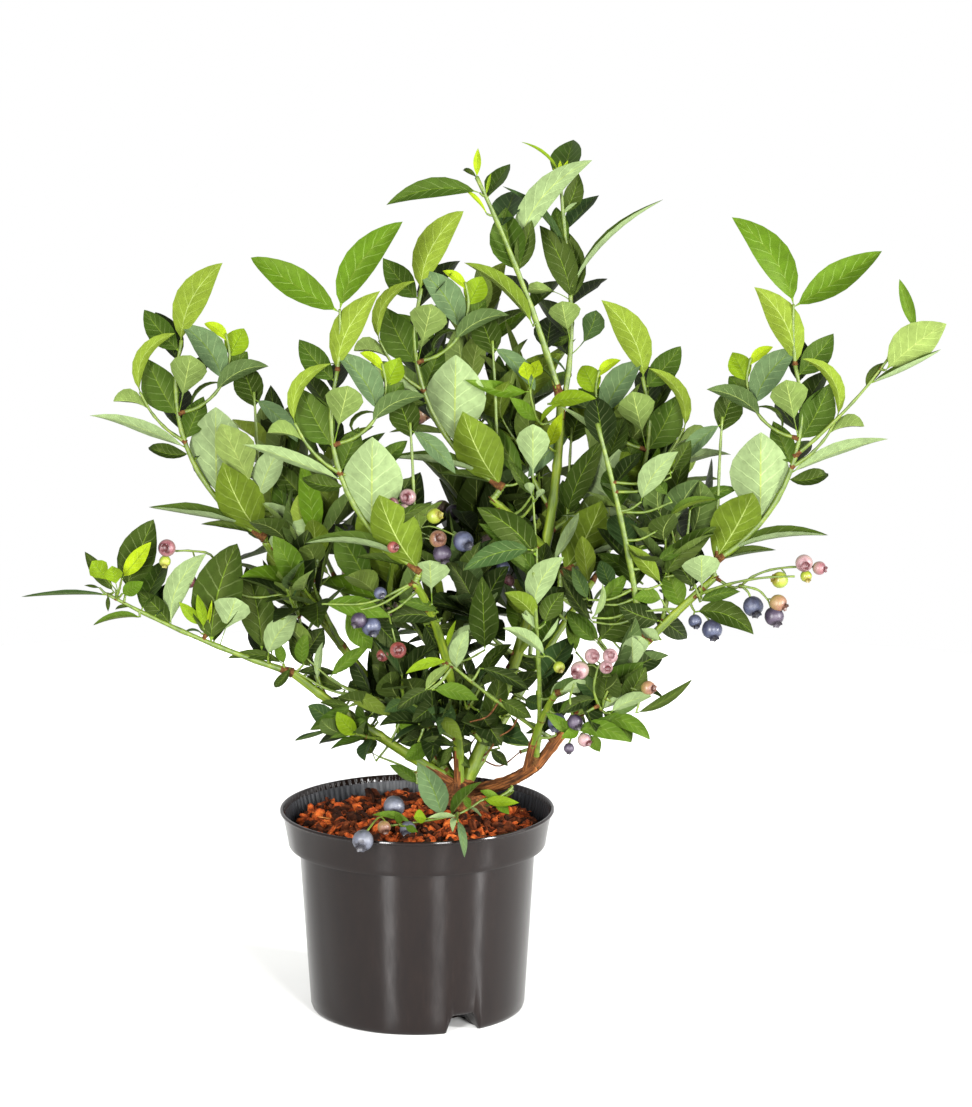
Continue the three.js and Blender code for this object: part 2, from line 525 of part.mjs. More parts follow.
for (const m of masses)
  for (const shoot of m.shoots) {
    if (!shoot.seeded) continue;
    const size = m.fill[2];
    const count = shoot.key === 0 ? Math.round(shoot.seeded * 1.6) : shoot.seeded;
    for (let k = 0; k < count; k++) {
      const next = stream(15485863 + 7907 * m.index + 101 * shoot.key + k);
      const t = Math.min(LAST, 0.22 + (0.78 * (k + 0.6)) / count);
      const { p, d: way } = along(shoot, t);
      const a = unit(cross(way, Math.abs(way[2]) > 0.9 ? [1, 0, 0] : [0, 0, 1]));
      const b = cross(way, a);
      setLeaf(m, shoot, (trial) => {
        const around = (k * 137.5 + shoot.key * 60 + (next() - 0.5) * 40 + trial * 25) * RAD;
        const open = (66 - 34 * t + (next() - 0.5) * 22) * RAD;
        const out = add(add([0, 0, 0], a, Math.cos(around)), b, Math.sin(around));
        const d = unit(add(add([0, 0, 0.12], way, Math.cos(open)), out, Math.sin(open)));
        const inward = add(add([0, 0, 0.55], way, Math.sin(open)), out, -Math.cos(open));
        const n = unit(add(inward, d, -dot(inward, d)));
        const length = size * (0.72 + 0.36 * Math.sin(Math.PI * (0.2 + 0.65 * t)) + 0.24 * next()) * (1 - 0.07 * trial);
        return { base: add(p, d, -ROOT), d, n, length, width: length * (0.4 + 0.14 * next()), kind: t > 0.93 && next() < 0.3 ? 2 : 0, arch: 0.04 + 0.05 * next(), fold: 0.2 + 0.25 * next() };
      }, 5);
    }
  }

// ---- solids
function solid(faces) {
  const index = new Map();
  const points = [];
  const corners = [];
  for (const face of faces)
    for (const p of face) {
      const key = p.map((v) => Math.round(v * 1e5)).join();
      if (!index.has(key)) {
        index.set(key, points.length / 3);
        points.push(...p);
      }
      corners.push(index.get(key));
    }
  const triVerts = [];
  for (let i = 0; i < corners.length; i += 3) {
    const [a, b, c] = corners.slice(i, i + 3);
    if (a !== b && b !== c && a !== c) triVerts.push(a, b, c);
  }
  return new Manifold(new Mesh({ numProp: 3, vertProperties: new Float32Array(points), triVerts: new Uint32Array(triVerts) }));
}
// Whether two sheets of a body would touch along an edge with its vertices rounded to `cell` millimetres.
function touches(body, cell) {
  const mesh = body.getMesh();
  const name = (v) => [0, 1, 2].map((k) => Math.round(mesh.vertProperties[v * mesh.numProp + k] / cell)).join();
  const uses = new Map();
  for (let i = 0; i < mesh.triVerts.length; i += 3) {
    const [a, b, c] = [0, 1, 2].map((k) => name(mesh.triVerts[i + k]));
    if (a === b || b === c || a === c) continue;
    for (const edge of [[a, b], [b, c], [c, a]]) {
      const key = edge.sort().join(" ");
      uses.set(key, (uses.get(key) || 0) + 1);
    }
  }
  return [...uses.values()].some((count) => count !== 2);
}
const pinched = (body) => touches(body, 1e-3) || touches(body, 1e-4);
// Pieces fused one after the other into one body. A piece that would pinch it is made a hair fuller, and left out if
// that doesn't help; hollows sealed by the fusing are filled and loose scraps dropped.
function fuse(pieces) {
  let body = solid(pieces[0](0));
  for (const piece of pieces.slice(1)) {
    const tries = [0, 0.04, 0.08, 0.12].map((more) => () => body.add(solid(piece(more))));
    for (const attempt of tries) {
      const next = attempt();
      if (pinched(next)) continue;
      body = next;
      break;
    }
  }
  const bodies = body.decompose();
  return bodies.reduce((most, b) => (b.volume() > most.volume() ? b : most));
}
// A profile of [radius, height] pairs turned round the axis; its first and last point lie on the axis.
function turned(profile, sides, lift = () => 0) {
  const point = (i, k) => {
    const [r, z] = profile[i];
    const a = (2 * Math.PI * k) / sides;
    return r === 0 ? [0, 0, z] : [r * Math.cos(a), r * Math.sin(a), z + lift(i, k % sides)];
  };
  const faces = [];
  for (let i = 0; i < profile.length - 1; i++)
    for (let k = 0; k < sides; k++) {
      const [a, b, c, d] = [point(i, k), point(i, k + 1), point(i + 1, k + 1), point(i + 1, k)];
      if (profile[i][0] > 0) faces.push([a, b, c]);
      if (profile[i + 1][0] > 0) faces.push([a, c, d]);
    }
  return solid(faces);
}

const SIDES = 36;
const wallAt = (z) => BASE_DIAMETER / 2 + ((RIM_DIAMETER / 2 - BODY_INSET - BASE_DIAMETER / 2) * z) / (POT_HEIGHT - BAND_HEIGHT);
const bandFoot = POT_HEIGHT - BAND_HEIGHT;
const outer = [
  [0, 0], [BASE_DIAMETER / 2 - 5, 0], [BASE_DIAMETER / 2 - 1.5, 1.5], [wallAt(6), 6], [wallAt(bandFoot - 2), bandFoot - 2],
  [wallAt(bandFoot) + BAND_STEP - 1.5, bandFoot], [wallAt(bandFoot) + BAND_STEP, bandFoot + 2],
  [RIM_DIAMETER / 2 - 3.2, POT_HEIGHT - 4], [RIM_DIAMETER / 2, POT_HEIGHT - 3], [RIM_DIAMETER / 2, POT_HEIGHT - 0.8],
  [RIM_DIAMETER / 2 - 0.8, POT_HEIGHT], [0, POT_HEIGHT],
];
const inner = [
  [0, FLOOR], [BASE_DIAMETER / 2 - 6, FLOOR], [wallAt(8) - WALL, 8], [wallAt(bandFoot - 1) - WALL, bandFoot - 1],
  [wallAt(bandFoot) + BAND_STEP - WALL - 1, bandFoot + 2.5], [RIM_DIAMETER / 2 - 3.2 - WALL, POT_HEIGHT - 4],
  [RIM_DIAMETER / 2 - WALL - 0.6, POT_HEIGHT + 1], [0, POT_HEIGHT + 1],
];
// A drainage channel: a trapezoid cut from the foot inward, `more` larger all round.
function channel(azimuth, more) {
  const [w, h] = FOOT_NOTCH;
  const half = [w / 2 + more, w / 3.2 + more];
  const top = h + more;
  const [from, to] = [50 - more, BASE_DIAMETER / 2 + 4];
  const ring = (r) => [[r, -half[0], -1], [r, half[0], -1], [r, half[1], top], [r, -half[1], top]];
  const [a, b] = [ring(from), ring(to)];
  const faces = [[a[0], a[2], a[1]], [a[0], a[3], a[2]], [b[0], b[1], b[2]], [b[0], b[2], b[3]]];
  for (let k = 0; k < 4; k++) {
    const m = (k + 1) % 4;
    faces.push([a[k], a[m], b[m]], [a[k], b[m], b[k]]);
  }
  const made = solid(faces);
  return (made.volume() < 0 ? solid(faces.map(([p, q, r]) => [p, r, q])) : made).rotate([0, 0, azimuth]);
}
const spots = [0, 120, 240].map((a) => FOOT_NOTCH[2] + a);
const potSolid = turned(outer, SIDES)
  .subtract(turned(inner, SIDES).subtract(Manifold.union(spots.map((a) => channel(a, WALL)))))
  .subtract(Manifold.union(spots.map((a) => channel(a, 0))));

// The growing medium: 0.3 mm inside the pot, its top a little domed and lumpy, level under the stool.
const lump = stream(31);
const lumps = Array.from({ length: 6 * 24 }, () => (lump() - 0.5) * 5);
const fill = [
  [0, FLOOR + CLEAR], [BASE_DIAMETER / 2 - 7, FLOOR + CLEAR], [wallAt(8) - WALL - CLEAR, 8.6], [wallAt(bandFoot - 1) - WALL - CLEAR, bandFoot - 1],
  [wallAt(bandFoot) + BAND_STEP - WALL - 1 - CLEAR, bandFoot + 3], [wallAt(bandFoot) + BAND_STEP - WALL - CLEAR, MEDIUM_TOP - 8],
  [98, MEDIUM_TOP - 2], [84, MEDIUM_TOP + 1], [74, MEDIUM_TOP + 3], [71, MEDIUM_TOP + 5], [0, MEDIUM_TOP + 5],
];
const mediumSolid = turned(fill, SIDES / 2, (i, k) => (i > 5 && i < 9 ? lumps[(i - 4) * 24 + k] * 0.6 : 0))
  .subtract(Manifold.union(spots.map((a) => channel(a, WALL + CLEAR))));

// ---- the part
const SKINS = {
  polypropylene: new THREE.MeshStandardMaterial({ color: 0x454140, roughness: 0.35 }),
  bark_chips: new THREE.MeshStandardMaterial({ color: 0x8a3f1c, roughness: 0.95 }),
  woody_bark: new THREE.MeshStandardMaterial({ color: 0x6e4a2c, roughness: 0.85 }),
  green_bark: new THREE.MeshStandardMaterial({ color: 0x7fa52c, roughness: 0.6 }),
  leaf: new THREE.MeshStandardMaterial({ color: 0x48721f, roughness: 0.5 }),
};
const group = new THREE.Group();
function node(name, made, skin) {
  const mesh = made.getMesh();
  const spots = new Float32Array(mesh.triVerts.length * 3);
  mesh.triVerts.forEach((v, i) => {
    for (let k = 0; k < 3; k++) spots[i * 3 + k] = mesh.vertProperties[v * mesh.numProp + k];
  });
  const geometry = new THREE.BufferGeometry();
  geometry.setAttribute("position", new THREE.BufferAttribute(spots, 3));
  geometry.computeVertexNormals();
  const out = new THREE.Mesh(geometry, SKINS[skin]);
  out.name = name;
  group.add(out);
}
node("pot", potSolid, "polypropylene");
node("growing_medium", mediumSolid, "bark_chips");
for (const [name, limb] of Object.entries(limbs))
  node(name, solid(sleeve(limb, name === "stool" ? 10 : 7)), /stool|base/.test(name) ? "woody_bark" : "green_bark");
const fuller = (shoot, more) => ({ ...shoot, r: shoot.r.map((r) => r + more) });
for (const m of masses)
  node(
    m.name,
    fuse([
      ...m.shoots.map((shoot) => (more) => sleeve(fuller(shoot, more), 3)),
      ...m.leaves.map((leaf) => (more) => blade(leaf, more)),
      ...m.fruit.map((fruit) => () => fruit.faces),
    ]),
    "leaf",
  );
export default group;
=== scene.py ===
"""The looks of a young blueberry bush in a round nursery pot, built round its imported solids.

Sizes are millimetres until a mesh is made. +Z is up, the front faces -Y, and the pot stands on z = 0
with its axis on x = y = 0. Azimuths are degrees in plan from +X towards +Y (270 is the front), leans
degrees off +Z."""

import math

import bpy
import numpy as np
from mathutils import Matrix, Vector


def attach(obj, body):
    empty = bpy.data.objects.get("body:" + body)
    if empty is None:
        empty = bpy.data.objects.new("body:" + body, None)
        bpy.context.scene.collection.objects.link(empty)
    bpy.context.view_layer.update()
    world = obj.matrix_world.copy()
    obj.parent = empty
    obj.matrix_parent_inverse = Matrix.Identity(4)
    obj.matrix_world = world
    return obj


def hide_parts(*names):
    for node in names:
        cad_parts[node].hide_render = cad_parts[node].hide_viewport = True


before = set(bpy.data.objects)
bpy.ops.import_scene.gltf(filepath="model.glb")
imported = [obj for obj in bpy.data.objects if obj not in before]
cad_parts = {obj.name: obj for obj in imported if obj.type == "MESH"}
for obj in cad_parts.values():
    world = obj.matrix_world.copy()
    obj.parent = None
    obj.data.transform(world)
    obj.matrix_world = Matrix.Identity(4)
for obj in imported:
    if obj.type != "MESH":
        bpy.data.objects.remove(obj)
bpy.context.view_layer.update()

# ---- Studio: a round floor of pale paper that grows lighter towards its rim, in an even white room; a broad
# soft light from the upper left, one from the right, and three tall strips, which draw long upright
# highlights on the pot and small ones on leaves.
MM = 0.001
FLOOR_REACH = 1500
SHADED_REACH = 600  # up to here the floor keeps its darker tone, in which the shadow shows
EYE = (57.7, -3400.0, 1055.5)
EYE_PITCH = 11.1  # degrees below the level
LENS = 154.9
SENSOR = 36
FRAME_WIDTH = 972  # pixels; the frame is 1107 high
FRAME_CENTRE = (486, 553.5)
FOCAL = FRAME_WIDTH * LENS / SENSOR  # in pixels
POT_AIM = (0, 0, 300)
STRIPS = ((-26.5, 560, 340), (21.5, 620, 240), (63, 420, 360))  # degrees off the front, width, watts
STRIP_REACH = 3200
STRIP_LEVEL = 870
STRIP_LENGTH = 1600
STRIP_AIM = (0, 0, 250)


def linear(colour):
    """An sRGB hex colour as linear red, green, blue and a 1: the standard curve, straight near black."""
    srgb = np.array([int(colour[i : i + 2], 16) for i in (1, 3, 5)]) / 255
    return (*np.where(srgb <= 0.04045, srgb / 12.92, ((srgb + 0.055) / 1.055) ** 2.4), 1.0)


def add(tree, kind, inputs=(), **settings):
    """Adds a node with its settings. An input is a value, another node's output, or a node (its first
    output)."""
    node = tree.nodes.new("ShaderNode" + kind)
    for name, value in settings.items():
        setattr(node, name, value)
    for key, value in dict(inputs).items():
        if isinstance(value, bpy.types.Node):
            value = value.outputs[0]
        if isinstance(value, bpy.types.NodeSocket):
            tree.links.new(value, node.inputs[key])
        else:
            node.inputs[key].default_value = value
    return node


def finish(name, plain):
    """A new material: its node tree, and its shader with the plain sockets set."""
    made = bpy.data.materials.new(name)
    made.use_nodes = True
    shader = made.node_tree.nodes["Principled BSDF"]
    for socket, value in plain.items():
        shader.inputs[socket].default_value = value
    return made, made.node_tree, shader


def blend(tree, factor, *stops):
    """A colour ramp over a factor 0..1: stops are (place, hex colour or linear red, green and blue)."""
    ramp = add(tree, "ValToRGB", {"Fac": factor})
    while len(ramp.color_ramp.elements) < len(stops):
        ramp.color_ramp.elements.new(0.5)
    for element, (place, colour) in zip(ramp.color_ramp.elements, stops):
        element.position = place
        element.color = linear(colour) if isinstance(colour, str) else (*colour, 1)
    return ramp


def grain(tree, place, size, detail=3.0, rough=0.6):
    """Noise whose blots are `size` millimetres across: one number, or three to draw it out along an
    axis."""
    scale = 1 / (np.broadcast_to(size, 3) * MM)
    spread = add(tree, "Mapping", {"Vector": place, "Scale": tuple(scale)})
    return add(tree, "TexNoise", {"Vector": spread, "Scale": 1.0, "Detail": detail, "Roughness": rough})


def mesh_object(name, points, faces, skins, shades=None, uv=None, crease=45):
    """A mesh from arrays. faces are arrays of corner numbers, one array for each count of corners;
    shades gives each face's skin; uv gives each point's place on the surface; edges sharper than
    crease degrees stay crisp."""
    corners = np.concatenate([f.ravel() for f in faces])
    counts = np.concatenate([np.full(len(f), f.shape[1]) for f in faces])
    mesh = bpy.data.meshes.new(name)
    mesh.vertices.add(len(points))
    mesh.vertices.foreach_set("co", (points * MM).astype(np.float32).ravel())
    mesh.loops.add(len(corners))
    mesh.loops.foreach_set("vertex_index", corners.astype(np.int32))
    mesh.polygons.add(len(counts))
    mesh.polygons.foreach_set("loop_start", (np.cumsum(counts) - counts).astype(np.int32))
    for skin in skins:
        mesh.materials.append(skin)
    if shades is not None:
        mesh.polygons.foreach_set("material_index", shades.astype(np.int32))
    mesh.update(calc_edges=True)
    if uv is not None:
        layer = mesh.uv_layers.new(name="surface")
        layer.data.foreach_set("uv", uv[corners].astype(np.float32).ravel())
    mesh.polygons.foreach_set("use_smooth", np.ones(len(counts), bool))
    mesh.set_sharp_from_angle(angle=math.radians(crease))
    made = bpy.data.objects.new(name, mesh)
    bpy.context.scene.collection.objects.link(made)
    return made


def lamp(name, place, aim, size, watts, colour="#ffffff"):
    """A soft rectangular light at a place, turned to face a point."""
    light = bpy.data.lights.new(name, "AREA")
    light.shape = "RECTANGLE"
    light.size = size[0] * MM
    light.size_y = size[1] * MM
    light.energy = watts
    light.color = linear(colour)[:3]
    made = bpy.data.objects.new(name, light)
    made.location = Vector(place) * MM
    made.rotation_euler = (Vector(aim) - Vector(place)).to_track_quat("-Z", "Y").to_euler()
    bpy.context.scene.collection.objects.link(made)


paper, tree, shader = finish("pale_paper_floor", {"Roughness": 0.9})
spot = add(tree, "TexCoord").outputs["Object"]
reach = add(tree, "VectorMath", {0: spot}, operation="LENGTH").outputs["Value"]
shade = add(tree, "MapRange", {"Value": reach, "From Min": SHADED_REACH * MM, "From Max": FLOOR_REACH * MM})
tree.links.new(blend(tree, shade, (0, "#c4c4c2"), (1, "#fdfdfc")).outputs[0], shader.inputs["Base Color"])
turn = np.arange(96) * 2 * math.pi / 96
rim = np.stack([np.cos(turn), np.sin(turn), 0 * turn], -1) * FLOOR_REACH
sweep = mesh_object("floor", rim, [np.arange(96)[None]], [paper])
lamp("key_light", (-1500, -2000, 2300), POT_AIM, (1500, 1500), 30)
lamp("fill_light", (2500, -100, 900), POT_AIM, (1300, 1300), 24)
for side, width, watts in STRIPS:
    turn = math.radians(side)
    place = (STRIP_REACH * math.sin(turn), -STRIP_REACH * math.cos(turn), STRIP_LEVEL)
    lamp(f"strip_light_{abs(side)}", place, STRIP_AIM, (width, STRIP_LENGTH), watts)
world = bpy.data.worlds.new("white_studio")
world.use_nodes = True
world.node_tree.nodes["Background"].inputs["Color"].default_value = linear("#ffffff")
world.node_tree.nodes["Background"].inputs["Strength"].default_value = 1.0
bpy.context.scene.world = world
bpy.context.scene.view_settings.view_transform = "Standard"
lens = bpy.data.cameras.new("camera")
lens.lens = LENS
lens.sensor_width = SENSOR
lens.sensor_fit = "HORIZONTAL"
camera = bpy.data.objects.new("camera", lens)
camera.location = Vector(EYE) * MM
camera.rotation_euler = (math.radians(90 - EYE_PITCH), 0, 0)
bpy.context.scene.collection.objects.link(camera)
bpy.context.scene.camera = camera

# ---- Pot: thin black polypropylene, injection moulded, with a turned-down band under the lip, three
# drainage channels under the foot, and fine upright ribs inside the band. The plant stands in it; it
# carries everything.
POT_HEIGHT = 172
LIP_RADIUS = 115
BASE_RADIUS = 90
BODY_TOP_RADIUS = 99  # where the wall meets the band
BAND_FOOT = 141
BAND_STEP = 9
WALL = 1.8
CHANNEL = {"half": 15.5, "slope": 5.8, "high": 15, "from": 50, "azimuth": 296}
RIBS = 120  # inside the band
RIB_DEPTH = 0.45
POT_SAMPLES = 720


def shells(rings):
    """Closed shells from rings of corners, an array (shell, ring, corner, xyz). A shell's first and
    last ring are its two poles and count as one point each. Returns the points, and the faces as quads
    between the rings and triangles round the poles, wound so that they point outwards."""
    n, k, a, _ = rings.shape
    points = np.concatenate([rings[:, 0, :1], rings[:, 1:-1].reshape(n, -1, 3), rings[:, -1, :1]], axis=1)
    here = np.arange(a)
    after = (here + 1) % a
    start = 1 + a * np.arange(k - 3)[:, None]
    quads = np.stack([start + here, start + after, start + a + after, start + a + here], -1)
    quads = quads.reshape(-1, 4)
    last = 1 + a * (k - 3)
    top = np.full(a, 1 + a * (k - 2))
    ends = np.concatenate(
        [np.stack([0 * here, 1 + after, 1 + here], -1), np.stack([last + here, last + after, top], -1)])
    shift = points.shape[1] * np.arange(n)[:, None, None]
    quads, ends = (quads + shift).reshape(-1, 4), (ends + shift).reshape(-1, 3)
    flat = points.reshape(-1, 3)
    p, q, r, s = (flat[quads[:, i]] for i in range(4))
    first_half = np.einsum("ij,ij->i", p, np.cross(q, r)).sum()
    second_half = np.einsum("ij,ij->i", p, np.cross(r, s)).sum()
    inside = first_half + second_half
    if inside < 0:
        quads, ends = quads[:, ::-1], ends[:, ::-1]
    return flat, [quads, ends]


def turned(profile, azimuths, shape):
    """One closed shell: a profile of (radius, height) pairs turned round the axis, then moved by
    shape(radius, height, azimuth), which returns new radii and heights. The profile starts and ends on
    the axis."""
    radius, height = np.array(profile, float).T[:, :, None]
    radius, height = shape(radius + 0 * azimuths, height + 0 * azimuths, azimuths)
    return shells(np.stack([radius * np.cos(azimuths), radius * np.sin(azimuths), height], -1)[None])


def channels(radius, azimuth):
    """How high a drainage channel's roof is over a point of the foot: a flat roof with sloping sides."""
    high = 0 * radius
    for third in range(3):
        way = azimuth - math.radians(CHANNEL["azimuth"] + 120 * third)
        beside = np.abs(radius * np.sin(way))
        rise = np.clip((CHANNEL["half"] - beside) / CHANNEL["slope"], 0, 1)
        high = np.maximum(high, np.where((np.cos(way) > 0) & (radius > CHANNEL["from"]), rise, 0))
    return high * CHANNEL["high"]


def pot_shape(radius, height, azimuth):
    """The channels press the foot up, and the ribs stand in from the band's inner face as a cosine."""
    low = np.clip(1 - height / 45, 0, 1)
    height = height + channels(radius, azimuth) * low
    ribbed = np.arange(len(radius))[:, None] >= len(outside + lip)
    ribbed = ribbed & (height > BAND_FOOT + 2)
    return radius - ribbed * RIB_DEPTH * (1 + np.cos(RIBS * azimuth)), height


def wall_at(height):
    """The outer radius of the tapering body at a height."""
    return BASE_RADIUS + (BODY_TOP_RADIUS - BASE_RADIUS) * height / BAND_FOOT


band = BODY_TOP_RADIUS + BAND_STEP
outside = [(0, 0), (49.9, 0), (50.1, 0), (70, 0), (85, 0), (87.6, 0.4), (89.2, 1.6), (wall_at(5), 5),
    (wall_at(14), 14)]
outside += [(wall_at(z), z) for z in (30, 45, 70, 95, 120, 136, 139.4)]
outside += [(BODY_TOP_RADIUS + 0.8, 140.4), (band - 2.5, 140.8), (band - 0.7, 141.2), (band, 142.4)]
outside += [(band + 0.5, 146), (110.2, 156), (112.2, 166), (113, 168.4), (114.4, 169.2)]
outside += [(LIP_RADIUS, POT_HEIGHT - 2)]
lip = [(0, 1.1), (0.5, 0.3), (1.4, 0), (2.3, 0.3), (2.8, 1.1)]  # how far in and how far down, round the roll
lip = [(LIP_RADIUS - inwards, POT_HEIGHT - down) for inwards, down in lip]
inside = [(111.4, 167), (110.4, 163), (109.2, 157), (107.4, 149), (106.6, 146), (105.6, 144),
    (100, 142.6)]
inside += [(wall_at(z) - WALL, z) for z in (138, 100, 50, 22, 10)] + [(84, 4.2), (70, 3.6), (49.9, 3.6),
    (48, 2.2), (0, 2.2)]
azimuths = np.arange(POT_SAMPLES) * 2 * math.pi / POT_SAMPLES

# Moulded polypropylene, IOR 1.49: near black with a warm grey cast, satin, finely drawn in the direction in
# which it left the mould, so that a highlight runs up and down; scuffed a little.
plastic, tree, shader = finish(
    "moulded_polypropylene",
    {"Roughness": 0.2, "IOR": 1.49, "Anisotropic": 0.95, "Anisotropic Rotation": 0.25,
        "Specular IOR Level": 0.23}
)
place = add(tree, "TexCoord").outputs["Object"]
draw_lines = grain(tree, place, (1.1, 1.1, 160), detail=3.0)
scuffs = grain(tree, place, (9, 9, 40), detail=5.0, rough=0.7)
cast = add(tree, "MixRGB", {"Fac": 0.5, "Color1": draw_lines, "Color2": scuffs})
tint = blend(tree, cast, (0.3, "#060303"), (0.55, "#0a0504"), (0.8, "#120b09"))
tree.links.new(tint.outputs[0], shader.inputs["Base Color"])
gloss = add(tree, "MapRange",
    {"Value": scuffs.outputs["Fac"], "From Min": 0.3, "From Max": 0.75, "To Min": 0.17, "To Max": 0.24})
tree.links.new(gloss.outputs[0], shader.inputs["Roughness"])
relief = add(tree, "Bump", {"Height": draw_lines, "Distance": 0.01 * MM, "Strength": 0.4})
tree.links.new(relief.outputs[0], shader.inputs["Normal"])
drawn = add(tree, "Tangent", direction_type="RADIAL", axis="Z")
tree.links.new(drawn.outputs[0], shader.inputs["Tangent"])
dull, tree, shader = finish("dull_polypropylene",
    {"Roughness": 0.55, "IOR": 1.49, "Specular IOR Level": 0.3})
bloom = grain(tree, add(tree, "TexCoord").outputs["Object"], (6, 6, 14), detail=4.0)
tree.links.new(blend(tree, bloom, (0.3, "#08090b"), (0.7, "#15171b")).outputs[0],
    shader.inputs["Base Color"])
points, faces = turned(outside + lip + inside, azimuths, pot_shape)
within = len(outside + lip) - 1
rows = np.concatenate([np.repeat(np.arange(len(f) // POT_SAMPLES), POT_SAMPLES) for f in faces])
walls = len(faces[0])
shades = np.where(np.arange(len(rows)) < walls, rows >= within, rows > 0)
pot = mesh_object("pot_moulded", points, faces, [plastic, dull], shades, crease=38)
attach(pot, "root")
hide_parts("pot")

# ---- Growing medium: shredded and chipped pine bark, heaped a little round the plant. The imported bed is
# one closed body; loose chips and fibres lie on it.
BED_RADIUS = 106.5
BED_EDGE = 152
BED_RISE = 8
CHIPS = 820
FIBRES = 170
rng = np.random.default_rng(7)


def bed(x, y):
    """The bed's height: a low dome with lumps, which are three crossed waves of unlike lengths."""
    dome = np.clip(1 - (np.hypot(x, y) / BED_RADIUS) ** 2, 0, 1)
    lumps = np.sin(x / 9 + 1.3) * np.cos(y / 11) + 0.7 * np.sin((x + y) / 6.1)
    lumps = lumps + 0.5 * np.cos((x - 1.6 * y) / 4.3)
    return BED_EDGE + BED_RISE * dome + 0.9 * lumps


def bed_shape(radius, height, azimuth):
    """The wall and underside stay; the top follows the bed's height."""
    x, y = radius * np.cos(azimuth), radius * np.sin(azimuth)
    return radius, np.where(height > BED_EDGE - 1, bed(x, y), height)


bark_side = [(0, 19), (60, 19), (wall_at(19) - 2.2, 20)] + [(wall_at(z) - 2.2, z) for z in (60, 110, 138)]
bark_side += [(105, 145.5), (BED_RADIUS - 0.5, 150)]
bark_top = [(r, BED_EDGE) for r in np.linspace(BED_RADIUS, 4, 26)] + [(0, BED_EDGE)]


def bark(name, dark, middle, light, across):
    """Pine bark: matt, layered, with darker seams; colour and relief follow one noise `across`
    millimetres wide."""
    made, tree, shader = finish(name, {"Roughness": 0.88, "Specular IOR Level": 0.06})
    place = add(tree, "TexCoord").outputs["Object"]
    layers = grain(tree, place, across, detail=5.0, rough=0.68)
    tint = blend(tree, layers, (0.3, dark), (0.5, middle), (0.72, light))
    tree.links.new(tint.outputs[0], shader.inputs["Base Color"])
    relief = add(tree, "Bump", {"Height": layers, "Distance": 0.9 * MM, "Strength": 0.9})
    tree.links.new(relief.outputs[0], shader.inputs["Normal"])
    return made


# The bed under the chips is near black: the fines' own dark brown, darkened all over as painted shade for
# the gaps between the chips and the shade under the rim.
fines_and_painted_shade = bark("bark_fines_and_painted_shade", "#080402", "#120804", "#1e0e06", 3)
points, faces = turned(bark_side + bark_top, np.arange(144) * 2 * math.pi / 144, bed_shape)
bed_piece = mesh_object("bark_bed", points, faces, [fines_and_painted_shade])
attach(bed_piece, "root")
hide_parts("growing_medium")


def turns(yaw, pitch, roll):
    """Turning matrices, one for each set of angles: roll about x, then pitch about y, then yaw about
    z."""
    cy, sy, cp, sp, cr, sr = (f(v) for v in (yaw, pitch, roll) for f in (np.cos, np.sin))
    rows = [[cy * cp, cy * sp * sr - sy * cr, cy * sp * cr + sy * sr],
        [sy * cp, sy * sp * sr + cy * cr, sy * sp * cr - cy * sr]]
    return np.moveaxis(np.array(rows + [[-sp, cp * sr, cp * cr]]), -1, 0)


def flakes(count, long, wide, thick, tilt, rough, lift):
    """Loose chips: each is a rounded box section that swells and ends bluntly along its length, every
    corner moved at random by `rough` of its size, turned at random and laid on the bed."""
    along_x = np.array([-0.5, -0.46, -0.2, 0.18, 0.44, 0.5])
    swell = np.array([0, 0.72, 1, 0.95, 0.66, 0])
    round_it = np.arange(8) * math.pi / 4 + math.pi / 8
    section = np.stack([np.cos(round_it), np.sin(round_it)], -1)
    section = np.sign(section) * np.abs(section) ** 0.6
    size = np.stack([rng.uniform(*limits, count) for limits in (long, wide, thick)], -1)
    box = np.empty((6, 8, 3))
    box[:, :, 0] = along_x[:, None]
    box[:, :, 1:] = swell[:, None, None] * section / 2
    rings = box * size[:, None, None] * (1 + rough * rng.standard_normal((count, 6, 8, 3)))
    arch = rng.uniform(-0.12, 0.12, count) * size[:, 0]
    rings[:, :, :, 1] += arch[:, None, None] * (box[:, :, 0] * 2) ** 2
    spin = turns(rng.uniform(0, 2 * math.pi, count), rng.normal(0, tilt, count),
        rng.normal(0, tilt, count))
    away = (BED_RADIUS - 3 - size[:, 0] * 0.36) * np.sqrt(rng.uniform(0, 1, count))
    where = rng.uniform(0, 2 * math.pi, count)
    x, y = away * np.cos(where), away * np.sin(where)
    middle = np.stack([x, y, bed(x, y) + lift * size[:, 2] + rng.uniform(0, 2.4, count)], -1)
    return np.einsum("nij,nkaj->nkai", spin, rings) + middle[:, None, None]


def scattered(name, rings, skins, crease):
    """A piece of many like shells, each dealt one of the skins."""
    points, faces = shells(rings)
    deal = rng.integers(0, len(skins), len(rings))
    shades = np.concatenate([np.repeat(deal, len(f) // len(rings)) for f in faces])
    made = mesh_object(name, points, faces, skins, shades, crease=crease)
    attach(made, "root")
    return made


chip_skins = [
    bark("bark_chip_rust", "#1a0804", "#4e1e0a", "#803c16", 4),
    bark("bark_chip_orange", "#280e04", "#702e10", "#985222", 5),
    bark("bark_chip_brown", "#100604", "#341608", "#562a12", 4),
    bark("bark_chip_dark", "#080402", "#1a0a04", "#32180a", 4),
    bark("bark_chip_tan", "#4a2610", "#805026", "#a07446", 5),
]
chips = flakes(CHIPS, (9, 23), (6, 12.5), (2.6, 6), 0.6, 0.07, 0.3)
scattered("bark_chips", chips, [chip_skins[i] for i in (0, 1, 1, 2, 3, 3, 2)], 32)
scattered("bark_fibres", flakes(FIBRES, (12, 30), (0.8, 1.8), (0.7, 1.3), 0.22, 0.03, 1.2),
    chip_skins[::2], 50)

